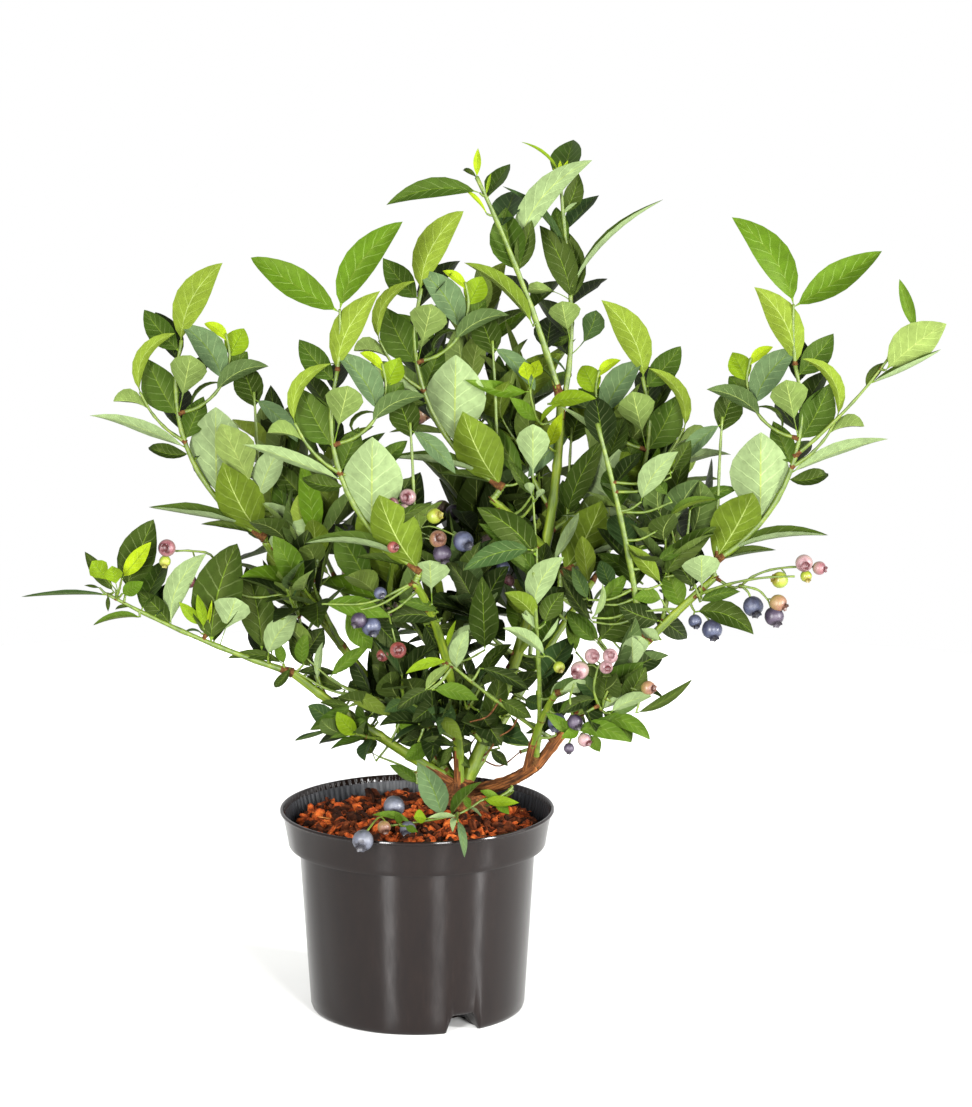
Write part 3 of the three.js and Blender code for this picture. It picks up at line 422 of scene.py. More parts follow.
# ---- Stool and canes: a short woody stool with fibrous, peeling bark, and canes that arch out of it,
# each a tapering limb. The old base that creeps to the right is brown; the canes above are green with
# brown leaf scars.
CROWN = (36, 30)
MEDIUM_TOP = 160
STOOL_TOP = 187
STOOL_RADIUS = 11
# name, parent, place along it 0..1, azimuth from, to, lean from, to, length, radius from, to
LIMBS = [
    ("left_cane", "stool", 0.95, 197, 190, 57, 50, 172, 4.4, 3.4),
    ("left_upper_cane", "stool", 0.9, 172, 205, 40, 34, 266, 4.2, 3.0),
    ("centre_left_cane", "stool", 0.9, 262, 236, 8, 42, 214, 4.4, 3.2),
    ("centre_cane", "stool", 1, 20, -30, 27, 1, 338, 5.6, 3.4),
    ("right_cane_base", "stool", 0.75, 310, 322, 80, 54, 92, 5.2, 4.6),
    ("right_cane", "right_cane_base", 1, -10, 14, 36, 50, 216, 4.5, 3.0),
    ("centre_bough", "centre_cane", 0.62, 225, 215, 46, 54, 76, 3.2, 2.8),
    ("inner_bough", "centre_cane", 0.34, 330, 350, 40, 32, 66, 3.0, 2.7),
    ("back_cane", "stool", 0.9, 95, 80, 20, 42, 250, 4.6, 3.0),
    ("back_left_cane", "stool", 0.8, 140, 128, 34, 54, 216, 4.2, 2.8),
    ("back_right_cane", "stool", 0.8, 40, 52, 38, 54, 220, 4.4, 2.8),
    ("front_right_cane", "right_cane_base", 0.85, 285, 300, 30, 44, 100, 3.4, 2.6),
]
WOODY = ("stool", "right_cane_base")
AGED = {"right_cane": 0.24, "front_right_cane": 0.4, "left_cane": 0.1,
    "centre_left_cane": 0.06}  # share gone brown
CANE_RINGS = 90
CANE_CORNERS = 20


def unit(vectors):
    """Vectors at length one."""
    return vectors / np.linalg.norm(vectors, axis=-1, keepdims=True)


def heading(azimuth, lean):
    """The direction that leans so far off +Z at that azimuth."""
    a, b = np.radians(azimuth), np.radians(lean)
    return np.stack(np.broadcast_arrays(np.sin(b) * np.cos(a), np.sin(b) * np.sin(a), np.cos(b)), -1)


def grow(start, sway, steps):
    """A shoot's centre line: equal steps whose azimuth and lean turn evenly from their first to their
    last value."""
    az0, az1, lean0, lean1, length = sway
    t = (np.arange(steps) + 0.5) / steps
    ways = heading(az0 + (az1 - az0) * t, lean0 + (lean1 - lean0) * t) * length / steps
    return np.vstack([start, np.asarray(start) + np.cumsum(ways, axis=0)])


def along(shoot, t):
    """Place, direction and radius a fraction t along a shoot."""
    line, (r0, r1) = shoot["line"], shoot["r"]
    i = min(len(line) - 2, int(t * (len(line) - 1)))
    way = line[i + 1] - line[i]
    return line[i] + way * (t * (len(line) - 1) - i), unit(way), r0 + (r1 - r0) * t


def curve(line, count):
    """The line drawn as a smooth curve through its corners at `count` even places (Catmull-Rom: each
    stretch leaves and meets its corners along the chord between their neighbours)."""
    ends = np.vstack([2 * line[0] - line[1], line, 2 * line[-1] - line[-2]])
    t = np.linspace(0, len(line) - 1, count)
    i = np.minimum(t.astype(int), len(line) - 2)
    u = (t - i)[:, None]
    a, b, c, d = (ends[i + k] for k in range(4))
    return b + u * (c - a + u * (2 * a - 5 * b + 4 * c - d + u * (3 * (b - c) + d - a))) / 2


def tubes(lines, radii, corners):
    """Rings round centre lines, arrays (tube, place, xyz), with radii (tube, place) or (tube, place,
    corner), closed by blunt poles. Each tube's section is square to its line."""
    ways = unit(np.gradient(lines, axis=1))
    mean = unit(ways.mean(axis=1))
    guess = np.where(np.abs(mean[:, 1:2]) < 0.8, [[0.0, 1, 0]], [[1.0, 0, 0]])
    side = unit(np.cross(ways, guess[:, None]))
    other = np.cross(ways, side)
    turn = np.arange(corners) * 2 * math.pi / corners
    radii = radii if radii.ndim == 3 else radii[:, :, None] + 0 * turn
    around = side[:, :, None] * np.cos(turn)[:, None] + other[:, :, None] * np.sin(turn)[:, None]
    rings = lines[:, :, None] + radii[..., None] * around
    first = lines[:, :1] - ways[:, :1] * radii[:, :1, :1] * 0.35
    last = lines[:, -1:] + ways[:, -1:] * radii[:, -1:, :1] * 0.5
    poles = [np.repeat(p[:, :, None], corners, axis=2) for p in (first, last)]
    return np.concatenate([poles[0], rings, poles[1]], axis=1)


def tube_uv(count, places, corners, lengths):
    """Each point's place on a tube: millimetres along it, and turns round it."""
    along_it = np.concatenate([[0], np.repeat(np.linspace(0, 1, places), corners), [1]])
    around_it = np.concatenate([[0.5], np.tile(np.arange(corners) / corners, places), [0.5]])
    return np.stack([np.outer(lengths, along_it), np.tile(around_it, (count, 1))], -1).reshape(-1, 2)


stool = {"line": np.array([[*CROWN, MEDIUM_TOP + 1], [*CROWN, STOOL_TOP]], float),
    "r": (STOOL_RADIUS * 1.9, STOOL_RADIUS)}
limbs = {"stool": stool}
for name, parent, at, az0, az1, lean0, lean1, length, r0, r1 in LIMBS:
    start, _, radius = along(limbs[parent], at)
    if parent == "stool":
        start = start + heading(az0, 90) * radius * 0.45
    limbs[name] = {"line": grow(start, (az0, az1, lean0, lean1, length), 8 if length > 100 else 4),
        "r": (r0, r1)}

# Bark of the stool and the old base: brown, in loose fibrous strips that run along the wood.
woody, tree, shader = finish("peeling_cane_bark", {"Roughness": 0.85, "Specular IOR Level": 0.1})
place = add(tree, "UVMap", uv_map="surface").outputs["UV"]
strips = add(tree, "Mapping", {"Vector": place, "Scale": (0.035, 14.0, 1.0)})
fibre = add(tree, "TexNoise", {"Vector": strips, "Scale": 1.0, "Detail": 5.0, "Roughness": 0.7})
tint = blend(tree, fibre, (0.33, "#120802"), (0.47, "#351d0a"), (0.6, "#60391a"), (0.75, "#7d5826"))
tree.links.new(tint.outputs[0], shader.inputs["Base Color"])
relief = add(tree, "Bump", {"Height": fibre, "Distance": 0.8 * MM, "Strength": 0.9})
tree.links.new(relief.outputs[0], shader.inputs["Normal"])

# Skin of the green canes: smooth and a little waxy, yellow-green, with brown streaks and short corky
# flecks.
green_skin, tree, shader = finish("green_cane_skin", {"Roughness": 0.5, "Specular IOR Level": 0.18})
place = add(tree, "UVMap", uv_map="surface").outputs["UV"]
streaks = add(tree, "Mapping", {"Vector": place, "Scale": (0.03, 5.0, 1.0)})
streak = add(tree, "TexNoise", {"Vector": streaks, "Scale": 1.0, "Detail": 4.0, "Roughness": 0.65})
tint = blend(tree, streak, (0.3, "#263406"), (0.5, "#3c4a08"), (0.62, "#4c560e"), (0.76, "#423410"))
tree.links.new(tint.outputs[0], shader.inputs["Base Color"])
relief = add(tree, "Bump", {"Height": streak, "Distance": 0.25 * MM, "Strength": 0.7})
tree.links.new(relief.outputs[0], shader.inputs["Normal"])
scar_skin = bark("brown_leaf_scar", "#1c1006", "#36200e", "#503a1a", 2)


def cane(name, limb):
    """A limb with its bark's relief: the taper swells at a node every 30 mm or so, ridges run along it
    and wander a little round it, and a woody limb also has deep cracks and knobs."""
    t = np.linspace(0, 1, CANE_RINGS)
    turn = np.arange(CANE_CORNERS) * 2 * math.pi / CANE_CORNERS
    line = curve(limb["line"], CANE_RINGS)
    length = np.linalg.norm(np.diff(line, axis=0), axis=1).sum()
    seed = sum(map(ord, name))
    gap = 30 + seed % 9
    joint = np.exp(-((((t * length + seed) % gap) - gap / 2) / 2.6) ** 2)
    if name in WOODY:
        ridges = 0.10 * np.sin(7 * turn + 5 * t[:, None] + seed)
        ridges = ridges + 0.06 * np.sin(13 * turn - 9 * t[:, None])
        knobs = 0.07 * np.sin(17 * t[:, None] + 2 * turn) + 0.05 * np.sin(41 * t[:, None] - 3 * turn)
        flare = 0.35 * np.exp(-t * 6)[:, None] if name == "stool" else 0
        relief = 1 + ridges + knobs + flare + 0.12 * joint[:, None]
    else:
        relief = 1 + 0.025 * np.sin(5 * turn + 4 * t[:, None] + seed) + 0.16 * joint[:, None]
        relief = relief + 0.03 * np.sin(3 * turn)
    radii = (limb["r"][0] + (limb["r"][1] - limb["r"][0]) * t)[:, None] * relief
    points, faces = shells(tubes(line[None], radii[None], CANE_CORNERS))
    uv = tube_uv(1, CANE_RINGS, CANE_CORNERS, np.array([length]))
    scar = (joint[:-1] > 0.9)[:, None] & (np.cos(turn - seed)[None] > 0.3)
    old = (t[:-1, None] < AGED.get(name, 0) + 0.1 * np.sin(2 * turn + seed)) & (name in AGED)
    shades = np.concatenate([np.where(old, 2, scar).ravel(), np.zeros(len(faces[1]), int)])
    skins = [woody if name in WOODY else green_skin, scar_skin, woody]
    made = mesh_object(name + "_bark", points, faces, skins, shades, uv, crease=70)
    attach(made, "root")
    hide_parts(name)


for name, limb in limbs.items():
    cane(name, limb)

# ---- Foliage: each mass is one stem on its limb, with twigs, and leaves that alternate along them. The
# leaves are leathery and ovate, dark and glossy above, pale and matt below, with a light midrib that runs
# into a short stalk.
LAST = 0.985  # the furthest place along a shoot that carries a leaf
STAND_OFF = 27  # least angle between a leaf and its twig, degrees
# place along, azimuth, lean, length, width, face, form, shade, bow. Face: where the upper side looks, 1
# front, 0 up, -1 back. Form: a row of FORMS. Shade: a letter of LEAF_COLOURS. Bow: how far the midrib
# swings to the left of its way, seen from the front, in shares of the length.
PAIR = [
    (0.95, 173, 58, 86, 28, 0.6, 0, "g", 0.02),
    (1, 355, 33, 91, 29, 0.85, 0, "g", 0.1),
]
WHORL = [
    (0.0, 215, 32, 80, 42, -0.8, 0, "m", 0.05),
    (0.02, 173, 78, 52, 13, 0.4, 4, "d", -0.03),
    (0.11, 185, 61, 82, 19, 0.25, 4, "p", -0.05),
    (0.28, 277, 9, 80, 52, -1, 0, "p", 0),
    (0.5, 185, 80, 38, 17, 0.6, 5, "d", 0.15),
    (0.52, 189, 67, 88, 15, -0.6, 0, "w", -0.02),
    (0.56, 37, 28, 40, 22, 1, 0, "f", 0),
    (0.67, 162, 31, 54, 32, 1, 0, "f", 0.04),
    (0.67, 291, 10, 60, 32, -1, 1, "q", 0),
    (0.95, 158, 45, 47, 23, 0.9, 0, "f", 0.03),
    (1, 350, 25, 80, 27, -0.85, 0, "b", 0.12),
]
WHORL_LEFT = [
    (0.66, 193, 55, 36, 19, -0.7, 6, "q", -0.12),
    (1, 344, 26, 67, 13, -0.5, 0, "b", 0.22),
]
WHORL_RIGHT = [
    (0.52, 188, 122, 36, 6, 0.3, 5, "d", -0.12),
    (0.53, 194, 32, 62, 27, 0.5, 0, "s", -0.1),
    (0.92, 169, 50, 26, 11, 0.5, 2, "l", -0.08),
    (0.77, 20, 12, 29, 21, 0.8, 0, "y", 0),
    (0.66, 347, 86, 16, 7, 0.8, 2, "l", 0),
    (0.6, 24, 46, 27, 18, 0.9, 0, "f", 0),
    (0.41, 352, 59, 54, 19, -0.6, 0, "t", 0.12),
]
BACK_RIGHT = [
    (0.88, 120, 12, 44, 26, 1, 0, "d", -0.05),
    (0.95, 0, 133, 52, 16, 0.6, 0, "s", 0.06),
]
FRONT_BROAD = [
    (0.9, 232, 17, 84, 34, -0.8, 3, "v", 0),
    (0.92, 273, 6, 55, 24, -0.9, 0, "p", 0.05),
    (0.9, 349, 134, 74, 21, -0.6, 0, "w", 0.05),
]
SPRAY = dict(sway=(180, 180, 60, -16, 192), thick=(2.5, 1.5), rows=WHORL)
SPRAY_TWIGS = [
    dict(at=0.55, sway=(192, 188, 60, 22, 58), rows=WHORL_LEFT),
    dict(at=0.68, sway=(10, 20, 84, -20, 88), rows=WHORL_RIGHT),
    dict(at=0.03, sway=(95, 120, 4, 8, 118), rows=BACK_RIGHT),
]
PAIR_TWIG = dict(at=1, sway=(-20, -60, 8, -2, 50), rows=PAIR)
BROAD_TWIG = dict(at=0.02, sway=(250, 240, 10, 4, 34), rows=FRONT_BROAD)
FAR_TWIG = dict(at=0.6, sway=(200, 178, 50, 35, 112), rows=[])
# Deals of shade letters for the seeded leaves. The deep and low deals give mostly the darkest letters, o
# above all, to masses inside, behind and low in the bush: the leaves' own dark green together with painted
# shade.
DEEP_DARK_AND_SHADE = "odotf"
MIXED = "fmgdoqm"
LOW_DARK_AND_SHADE = "oodot"
# One row for each mass. sway: azimuth from, to, lean from, to, length. fill: twigs, leaves a twig, leaf
# length.
MASSES = [
    dict(name="left_spray", rear=8, limb="left_upper_cane", lift=(0, 3), **SPRAY,
        twigs=[*SPRAY_TWIGS, BROAD_TWIG]),
    dict(name="centre_left_spray", rear=8, limb="centre_left_cane", lift=(5, 9), **SPRAY,
        twigs=[*SPRAY_TWIGS, PAIR_TWIG]),
    dict(name="centre_spray", rear=8, limb="centre_bough", lift=(9, 10), **SPRAY, twigs=SPRAY_TWIGS),
    dict(name="centre_right_spray", rear=8, limb="inner_bough", mirror=True, lift=(1, 20), **SPRAY,
        twigs=SPRAY_TWIGS),
    dict(name="right_spray", rear=8, limb="right_cane", mirror=True, lift=(-3, 11), **SPRAY,
        twigs=[*SPRAY_TWIGS, PAIR_TWIG, FAR_TWIG]),
    dict(name="tall_left_shoot", rear=5, limb="centre_cane", sway=(190, 196, 16, 26, 200),
        thick=(2.8, 1.6)),
    dict(name="tall_right_shoot", rear=5, limb="centre_cane", at=0.95, sway=(20, 200, 14, 4, 207),
        thick=(2.4, 1.4)),
    dict(name="left_cane_shoot", rear=5, limb="left_cane", sway=(192, 184, 70, 60, 168),
        thick=(2.6, 1.3)),
    dict(name="right_middle_shoot", rear=8, limb="right_cane", at=0.62, sway=(215, 160, 8, 16, 190),
        thick=(2.8, 1.6)),
    dict(name="front_middle_shoot", rear=7, limb="right_cane_base", at=0.97, sway=(285, 240, 30, 4, 184),
        thick=(2.4, 1.3)),
    dict(name="low_thin_shoot", limb="right_cane", at=0.12, sway=(212, 195, 56, 48, 124),
        thick=(2.0, 1.2)),
    dict(name="left_skirt", limb="left_cane", at=0.44, sway=(240, 225, 84, 62, 36), fill=(1, 4, 32),
        deal=DEEP_DARK_AND_SHADE),
    dict(name="left_inner", limb="left_cane", at=0.8, sway=(160, 190, 22, 10, 96), fill=(2, 4, 46),
        deal=DEEP_DARK_AND_SHADE),
    dict(name="left_middle", limb="left_upper_cane", at=0.55, sway=(220, 200, 35, 10, 120),
        fill=(4, 5, 50), deal=MIXED),
    dict(name="low_left", limb="centre_left_cane", at=0.2, sway=(212, 200, 62, 40, 84), fill=(5, 4, 42),
        deal=LOW_DARK_AND_SHADE),
    dict(name="low_centre", limb="centre_cane", at=0.1, sway=(245, 250, 58, 20, 64), fill=(5, 4, 42),
        deal=LOW_DARK_AND_SHADE),
    dict(name="centre_left_fill", limb="centre_left_cane", at=0.5, sway=(140, 172, 50, 16, 124),
        fill=(4, 5, 52), deal=MIXED),
    dict(name="centre_low_fill", limb="centre_cane", at=0.34, sway=(200, 230, 60, 10, 90),
        fill=(4, 5, 48), deal=LOW_DARK_AND_SHADE),
    dict(name="centre_fill", limb="centre_cane", at=0.72, sway=(150, 120, 40, 10, 110), fill=(3, 5, 54),
        deal=MIXED),
    dict(name="right_centre_fill", limb="centre_cane", at=0.66, sway=(10, 20, 60, 30, 110),
        fill=(3, 5, 54), deal=MIXED),
    dict(name="right_fill", limb="right_cane", at=0.72, sway=(60, 80, 30, 6, 104), fill=(4, 4, 52),
        deal=DEEP_DARK_AND_SHADE),
    dict(name="right_fruit_twig", limb="right_cane", at=0.88, sway=(328, 345, 60, 88, 94),
        thick=(1.3, 0.8)),
    dict(name="low_right", limb="front_right_cane", sway=(-10, 10, 70, 82, 66), fill=(2, 3, 42),
        deal=DEEP_DARK_AND_SHADE),
    dict(name="back_crown", limb="back_cane", sway=(85, 95, 32, 10, 160), thick=(2.4, 1.3),
        fill=(6, 5, 52), deal=MIXED),
    dict(name="back_inner", limb="back_cane", at=0.55, sway=(30, 60, 30, 10, 130), fill=(6, 5, 56),
        deal=DEEP_DARK_AND_SHADE),
    dict(name="back_left_crown", limb="back_left_cane", sway=(120, 125, 50, 40, 130), fill=(5, 5, 58),
        deal=MIXED),
    dict(name="back_left_inner", limb="back_left_cane", at=0.5, sway=(100, 120, 20, 5, 120),
        fill=(6, 5, 56), deal=DEEP_DARK_AND_SHADE),
    dict(name="back_right_crown", limb="back_right_cane", sway=(55, 50, 50, 40, 130), fill=(5, 5, 58),
        deal=MIXED),
    dict(name="back_right_inner", limb="back_right_cane", at=0.5, sway=(80, 60, 20, 5, 120),
        fill=(6, 5, 56), deal=DEEP_DARK_AND_SHADE),
]
# Leaves that are given where the camera sees them, by mass: root x, root y, tip x, tip y, in pixels of
# its 972 x 1107 frame; how far the tip stands behind its shoot, mm; width in pixels; face, form, shade,
# bow.
SEEN = {
    "tall_left_shoot": [
        (480, 193, 383, 201, -10, 23, 0.7, 0, "f", -0.11),
        (477, 181, 478, 148, 0, 9, 0.5, 2, "l", 0),
        (476, 182, 461, 168, 4, 8, 0.5, 5, "d", 0.1),
        (484, 194, 491, 173, 2, 4, 0.5, 2, "y", 0),
        (487, 214, 464, 188, -4, 7, 0.4, 2, "l", -0.05),
        (518, 270, 504, 207, 12, 40, 1, 0, "f", 0.06),
        (521, 273, 532, 220, 8, 21, 1, 0, "d", 0),
        (517, 258, 590, 150, 12, 30, -0.8, 0, "w", 0.14),
        (533, 326, 465, 257, -8, 21, -0.5, 0, "m", -0.08),
    ],
    "tall_right_shoot": [
        (564, 256, 504, 181, -12, 16, 0.3, 0, "t", -0.08),
        (560, 178, 521, 137, -4, 5, 0.4, 2, "y", -0.12),
        (563, 216, 580, 173, 6, 21, 1, 0, "d", -0.06),
        (565, 215, 577, 202, -4, 6, -0.5, 0, "w", 0),
        (566, 300, 541, 222, 4, 30, 1, 0, "d", -0.08),
        (565, 246, 555, 206, 8, 20, 1, 0, "f", 0.05),
        (571, 300, 567, 225, 8, 22, 1, 0, "d", -0.12),
        (573, 285, 662, 195, -6, 15, 0.1, 4, "p", 0.02),
        (568, 305, 523, 287, -8, 15, -0.7, 1, "q", -0.1),
        (569, 342, 562, 301, -12, 34, -0.5, 1, "q", 0),
        (572, 358, 599, 310, 6, 25, 1, 1, "t", -0.1),
        (568, 330, 549, 346, 6, 9, 0.8, 0, "d", 0.1),
        (568, 373, 537, 352, -4, 5, 0.3, 0, "t", -0.15),
        (556, 390, 508, 357, -6, 5, 0.3, 0, "d", -0.2),
        (561, 178, 560, 160, 0, 6, 0.5, 2, "l", 0),
        (562, 178, 568, 160, -2, 6, 0.5, 2, "l", 0),
        (562, 180, 575, 164, -3, 7, 0.6, 2, "l", 0),
        (562, 184, 578, 171, -5, 7, 0.6, 2, "y", 0),
        (560, 182, 553, 168, 2, 6, 0.6, 2, "l", 0),
    ],
    "left_cane_shoot": [
        (126, 590, 153, 519, 6, 42, 0.9, 0, "d", 0.02),
        (122, 578, 151, 542, -8, 18, 0.8, 0, "l", 0),
        (116, 590, 92, 561, -6, 22, 0.8, 1, "y", 0),
        (114, 592, 84, 551, 8, 16, 0.9, 0, "d", 0),
        (118, 592, 112, 566, -12, 20, 0.8, 1, "y", 0),
        (122, 594, 143, 582, -10, 16, 0.9, 0, "g", 0),
        (110, 594, 21, 596, 0, 9, 0.2, 4, "t", 0),
        (106, 592, 108, 612, 2, 5, 0.5, 0, "d", 0),
        (100, 588, 84, 585, 2, 4, 0.5, 0, "d", 0),
        (140, 617, 92, 624, -4, 13, 0.3, 4, "m", -0.05),
        (134, 610, 114, 609, 3, 6, 0.5, 5, "d", 0),
        (172, 630, 138, 590, 4, 24, 1, 0, "d", -0.05),
        (167, 627, 204, 547, -8, 26, -0.9, 0, "w", 0.14),
        (214, 640, 235, 541, 6, 54, 0.95, 0, "d", 0.06),
        (262, 652, 247, 566, 10, 38, 1, 0, "d", -0.04),
        (203, 628, 198, 594, -8, 12, 0.8, 2, "y", -0.05),
        (202, 626, 179, 602, -6, 14, 0.8, 2, "y", 0),
        (206, 632, 212, 600, -4, 5, 0.8, 2, "l", 0),
        (222, 646, 236, 597, -12, 40, -0.9, 1, "p", 0),
        (268, 656, 297, 613, -10, 28, -0.9, 0, "w", 0.1),
        (283, 664, 225, 655, -4, 11, 0.6, 0, "d", -0.1),
        (290, 668, 271, 690, -4, 12, 0.7, 5, "d", 0.1),
        (272, 655, 262, 596, 10, 34, 1, 0, "d", 0),
        (284, 664, 276, 640, -4, 12, 0.8, 0, "m", 0),
        (202, 634, 180, 632, -2, 4, 0.4, 0, "t", -0.2),
        (285, 594, 247, 569, 0, 15, 0.8, 0, "f", -0.12),
        (312, 668, 290, 630, 4, 20, 0.9, 0, "d", 0.05),
        (304, 664, 306, 632, -6, 16, 0.5, 0, "m", 0.1),
        (318, 682, 322, 640, -8, 9, -0.5, 0, "w", 0.05),
    ],
    "left_skirt": [
        (344, 704, 310, 731, -4, 16, 0.8, 0, "f", 0.05),
        (364, 716, 329, 738, -4, 15, 0.8, 0, "f", 0),
        (350, 700, 320, 703, 4, 10, 0.8, 0, "d", 0),
        (345, 690, 305, 675, 6, 15, 0.8, 0, "d", 0),
        (378, 722, 345, 690, -10, 17, -0.5, 0, "t", -0.05),
        (384, 700, 369, 650, 6, 20, 0.8, 0, "f", 0),
        (368, 716, 357, 735, 0, 10, 0.8, 0, "o", 0),
        (380, 757, 361, 744, -2, 16, 0.8, 1, "d", 0.05),
        (417, 784, 390, 764, -6, 13, 0.8, 0, "f", -0.08),
    ],
    "left_spray": [
        (330, 576, 288, 557, -12, 14, -0.6, 0, "q", -0.1),
        (284, 566, 272, 532, -12, 12, -0.6, 0, "w", 0.1),
        (313, 540, 303, 461, -16, 25, 0.8, 0, "g", -0.04),
        (300, 560, 276, 510, 4, 24, 0.9, 0, "d", 0),
        (306, 500, 270, 462, 8, 24, 0.9, 0, "d", 0),
        (300, 600, 260, 560, 4, 14, 0.8, 0, "d", 0.1),
    ],
    "centre_left_spray": [
        (388, 535, 433, 500, -12, 13, 0.8, 0, "d", 0.12),
        (432, 604, 430, 560, -14, 40, -0.9, 1, "w", 0),
        (438, 612, 398, 600, -10, 13, 0.8, 0, "f", -0.08),
        (440, 621, 384, 618, -8, 19, 0.7, 0, "o", -0.12),
        (372, 470, 408, 440, 8, 20, 0.8, 0, "f", 0),
    ],
    "centre_left_fill": [
        (447, 650, 456, 620, -14, 7, 0.5, 2, "y", 0),
        (440, 640, 428, 625, -16, 4, 0.5, 2, "y", 0),
        (450, 658, 478, 620, -18, 15, -0.6, 0, "w", 0.05),
        (485, 650, 482, 577, -26, 34, 1, 0, "d", 0),
        (482, 584, 451, 560, -10, 13, -0.5, 0, "q", 0),
    ],
    "centre_spray": [
        (524, 480, 487, 418, 6, 22, 0.9, 0, "f", 0),
        (537, 498, 508, 461, -12, 12, 0.8, 0, "d", 0),
        (533, 494, 533, 424, -20, 35, -0.9, 1, "w", 0),
        (534, 502, 528, 482, -18, 11, -0.5, 1, "w", 0),
        (534, 502, 543, 489, -20, 9, -0.3, 1, "w", 0),
    ],
    "centre_fill": [
        (535, 560, 478, 505, -12, 35, 0.8, 0, "d", -0.08),
        (529, 578, 480, 520, -8, 22, 0.8, 0, "f", -0.1),
        (516, 546, 461, 568, -16, 24, 0.8, 0, "t", -0.1),
        (528, 622, 505, 590, -12, 23, -0.6, 0, "m", -0.1),
        (530, 392, 464, 381, -24, 19, 0.6, 0, "g", 0.06),
        (531, 390, 524, 362, -22, 16, 0.8, 1, "l", 0),
        (532, 390, 539, 360, -24, 16, 0.8, 1, "l", 0),
        (541, 420, 510, 397, -18, 15, 0.7, 0, "g", 0),
        (548, 404, 595, 397, -26, 19, 0.7, 0, "y", 0.05),
        (549, 447, 562, 413, -22, 15, 0.7, 0, "l", 0),
        (541, 424, 560, 402, -20, 7, 0.6, 0, "y", 0.1),
        (520, 436, 508, 420, -12, 12, 0.7, 0, "o", 0),
    ],
    "centre_right_spray": [
        (625, 436, 587, 413, -14, 10, 0.5, 0, "y", 0),
        (604, 440, 560, 405, -12, 11, -0.3, 0, "s", 0),
        (565, 513, 602, 438, -18, 27, 0.9, 0, "d", 0.06),
        (553, 562, 580, 510, -22, 13, -0.5, 0, "w", -0.05),
        (590, 577, 590, 520, 4, 36, 0.9, 0, "d", 0),
        (590, 598, 582, 535, -20, 22, -0.3, 3, "b", 0),
        (641, 523, 587, 490, -12, 13, -0.4, 0, "q", -0.06),
        (642, 536, 560, 513, -10, 14, 0.2, 4, "p", -0.06),
        (643, 584, 597, 552, -8, 22, 0.8, 0, "f", -0.05),
        (598, 640, 642, 590, 2, 38, 0.9, 0, "d", 0.05),
        (592, 613, 562, 566, -8, 21, 0.9, 0, "o", -0.05),
        (592, 606, 616, 579, -12, 5, -0.5, 0, "w", 0.1),
    ],
    "front_middle_shoot": [
        (533, 608, 562, 552, -10, 31, -0.95, 0, "w", 0.16),
        (545, 656, 503, 625, -10, 17, -0.6, 0, "w", -0.1),
        (540, 630, 524, 603, -4, 10, -0.5, 2, "w", 0.1),
        (540, 626, 521, 613, -6, 8, -0.5, 2, "w", 0.1),
        (545, 624, 563, 591, 4, 24, 0.9, 0, "d", 0.1),
        (541, 642, 560, 618, -6, 8, -0.4, 0, "w", -0.1),
        (550, 698, 580, 680, -12, 15, -0.6, 0, "w", 0.08),
        (556, 735, 548, 700, -2, 9, 0.7, 0, "m", 0),
        (537, 498, 508, 461, -12, 12, 0.8, 0, "d", 0),
        (533, 496, 533, 424, -16, 35, -0.9, 1, "w", 0),
        (534, 502, 528, 482, -14, 11, -0.5, 1, "w", 0),
        (534, 502, 543, 489, -16, 9, -0.3, 1, "w", 0),
        (535, 560, 478, 505, -12, 35, 0.8, 0, "d", -0.08),
        (535, 578, 480, 520, -8, 22, 0.8, 0, "f", -0.1),
        (532, 550, 461, 568, -18, 24, 0.8, 0, "t", -0.1),
        (536, 622, 505, 590, -10, 23, -0.6, 0, "m", -0.1),
        (446, 818, 418, 761, -6, 30, 0.9, 0, "s", -0.06),
        (452, 815, 481, 781, -10, 20, 0.4, 4, "f", 0.05),
        (432, 822, 414, 817, -8, 17, 0.6, 1, "y", 0),
        (408, 822, 372, 813, -8, 9, 0.6, 0, "m", -0.1),
        (455, 816, 427, 817, -10, 13, -0.5, 0, "w", 0.05),
        (454, 818, 452, 832, -12, 16, -0.6, 0, "w", 0),
        (459, 822, 466, 862, -24, 10, 0.3, 7, "s", 0),
        (484, 800, 519, 803, -12, 13, 0.6, 0, "y", -0.05),
        (497, 798, 509, 814, -12, 12, 0.7, 0, "g", 0),
        (498, 797, 480, 791, -8, 10, 0.6, 0, "g", 0.05),
        (470, 808, 462, 796, -8, 10, 0.6, 0, "m", 0),
        (472, 808, 482, 816, -10, 9, -0.5, 0, "w", 0),
        (400, 826, 398, 812, -6, 8, 0.7, 0, "m", 0),
        (405, 826, 418, 832, -10, 8, 0.7, 0, "m", 0),
    ],
    "right_middle_shoot": [
        (664, 577, 716, 524, -8, 25, 0.9, 0, "d", 0.08),
        (690, 510, 739, 486, 4, 16, 0.8, 0, "f", 0.1),
        (672, 472, 691, 440, 6, 19, 0.9, 0, "d", 0),
        (671, 477, 667, 454, -6, 16, 0.8, 1, "y", 0),
        (672, 502, 657, 481, -2, 15, 0.8, 1, "f", 0),
        (641, 502, 677, 448, -12, 27, -0.8, 0, "w", 0.1),
        (668, 519, 718, 497, -12, 17, 0.3, 4, "m", 0.05),
        (655, 532, 681, 512, -10, 11, -0.6, 0, "q", 0),
        (656, 562, 690, 540, 4, 14, 0.9, 0, "f", 0),
        (660, 621, 618, 606, -6, 26, 0.8, 0, "o", 0.05),
        (600, 640, 648, 596, 14, 44, 0.9, 0, "d", -0.06),
        (662, 600, 632, 597, -8, 17, 0.7, 0, "m", -0.1),
        (684, 608, 644, 611, -12, 8, -0.5, 0, "q", 0.08),
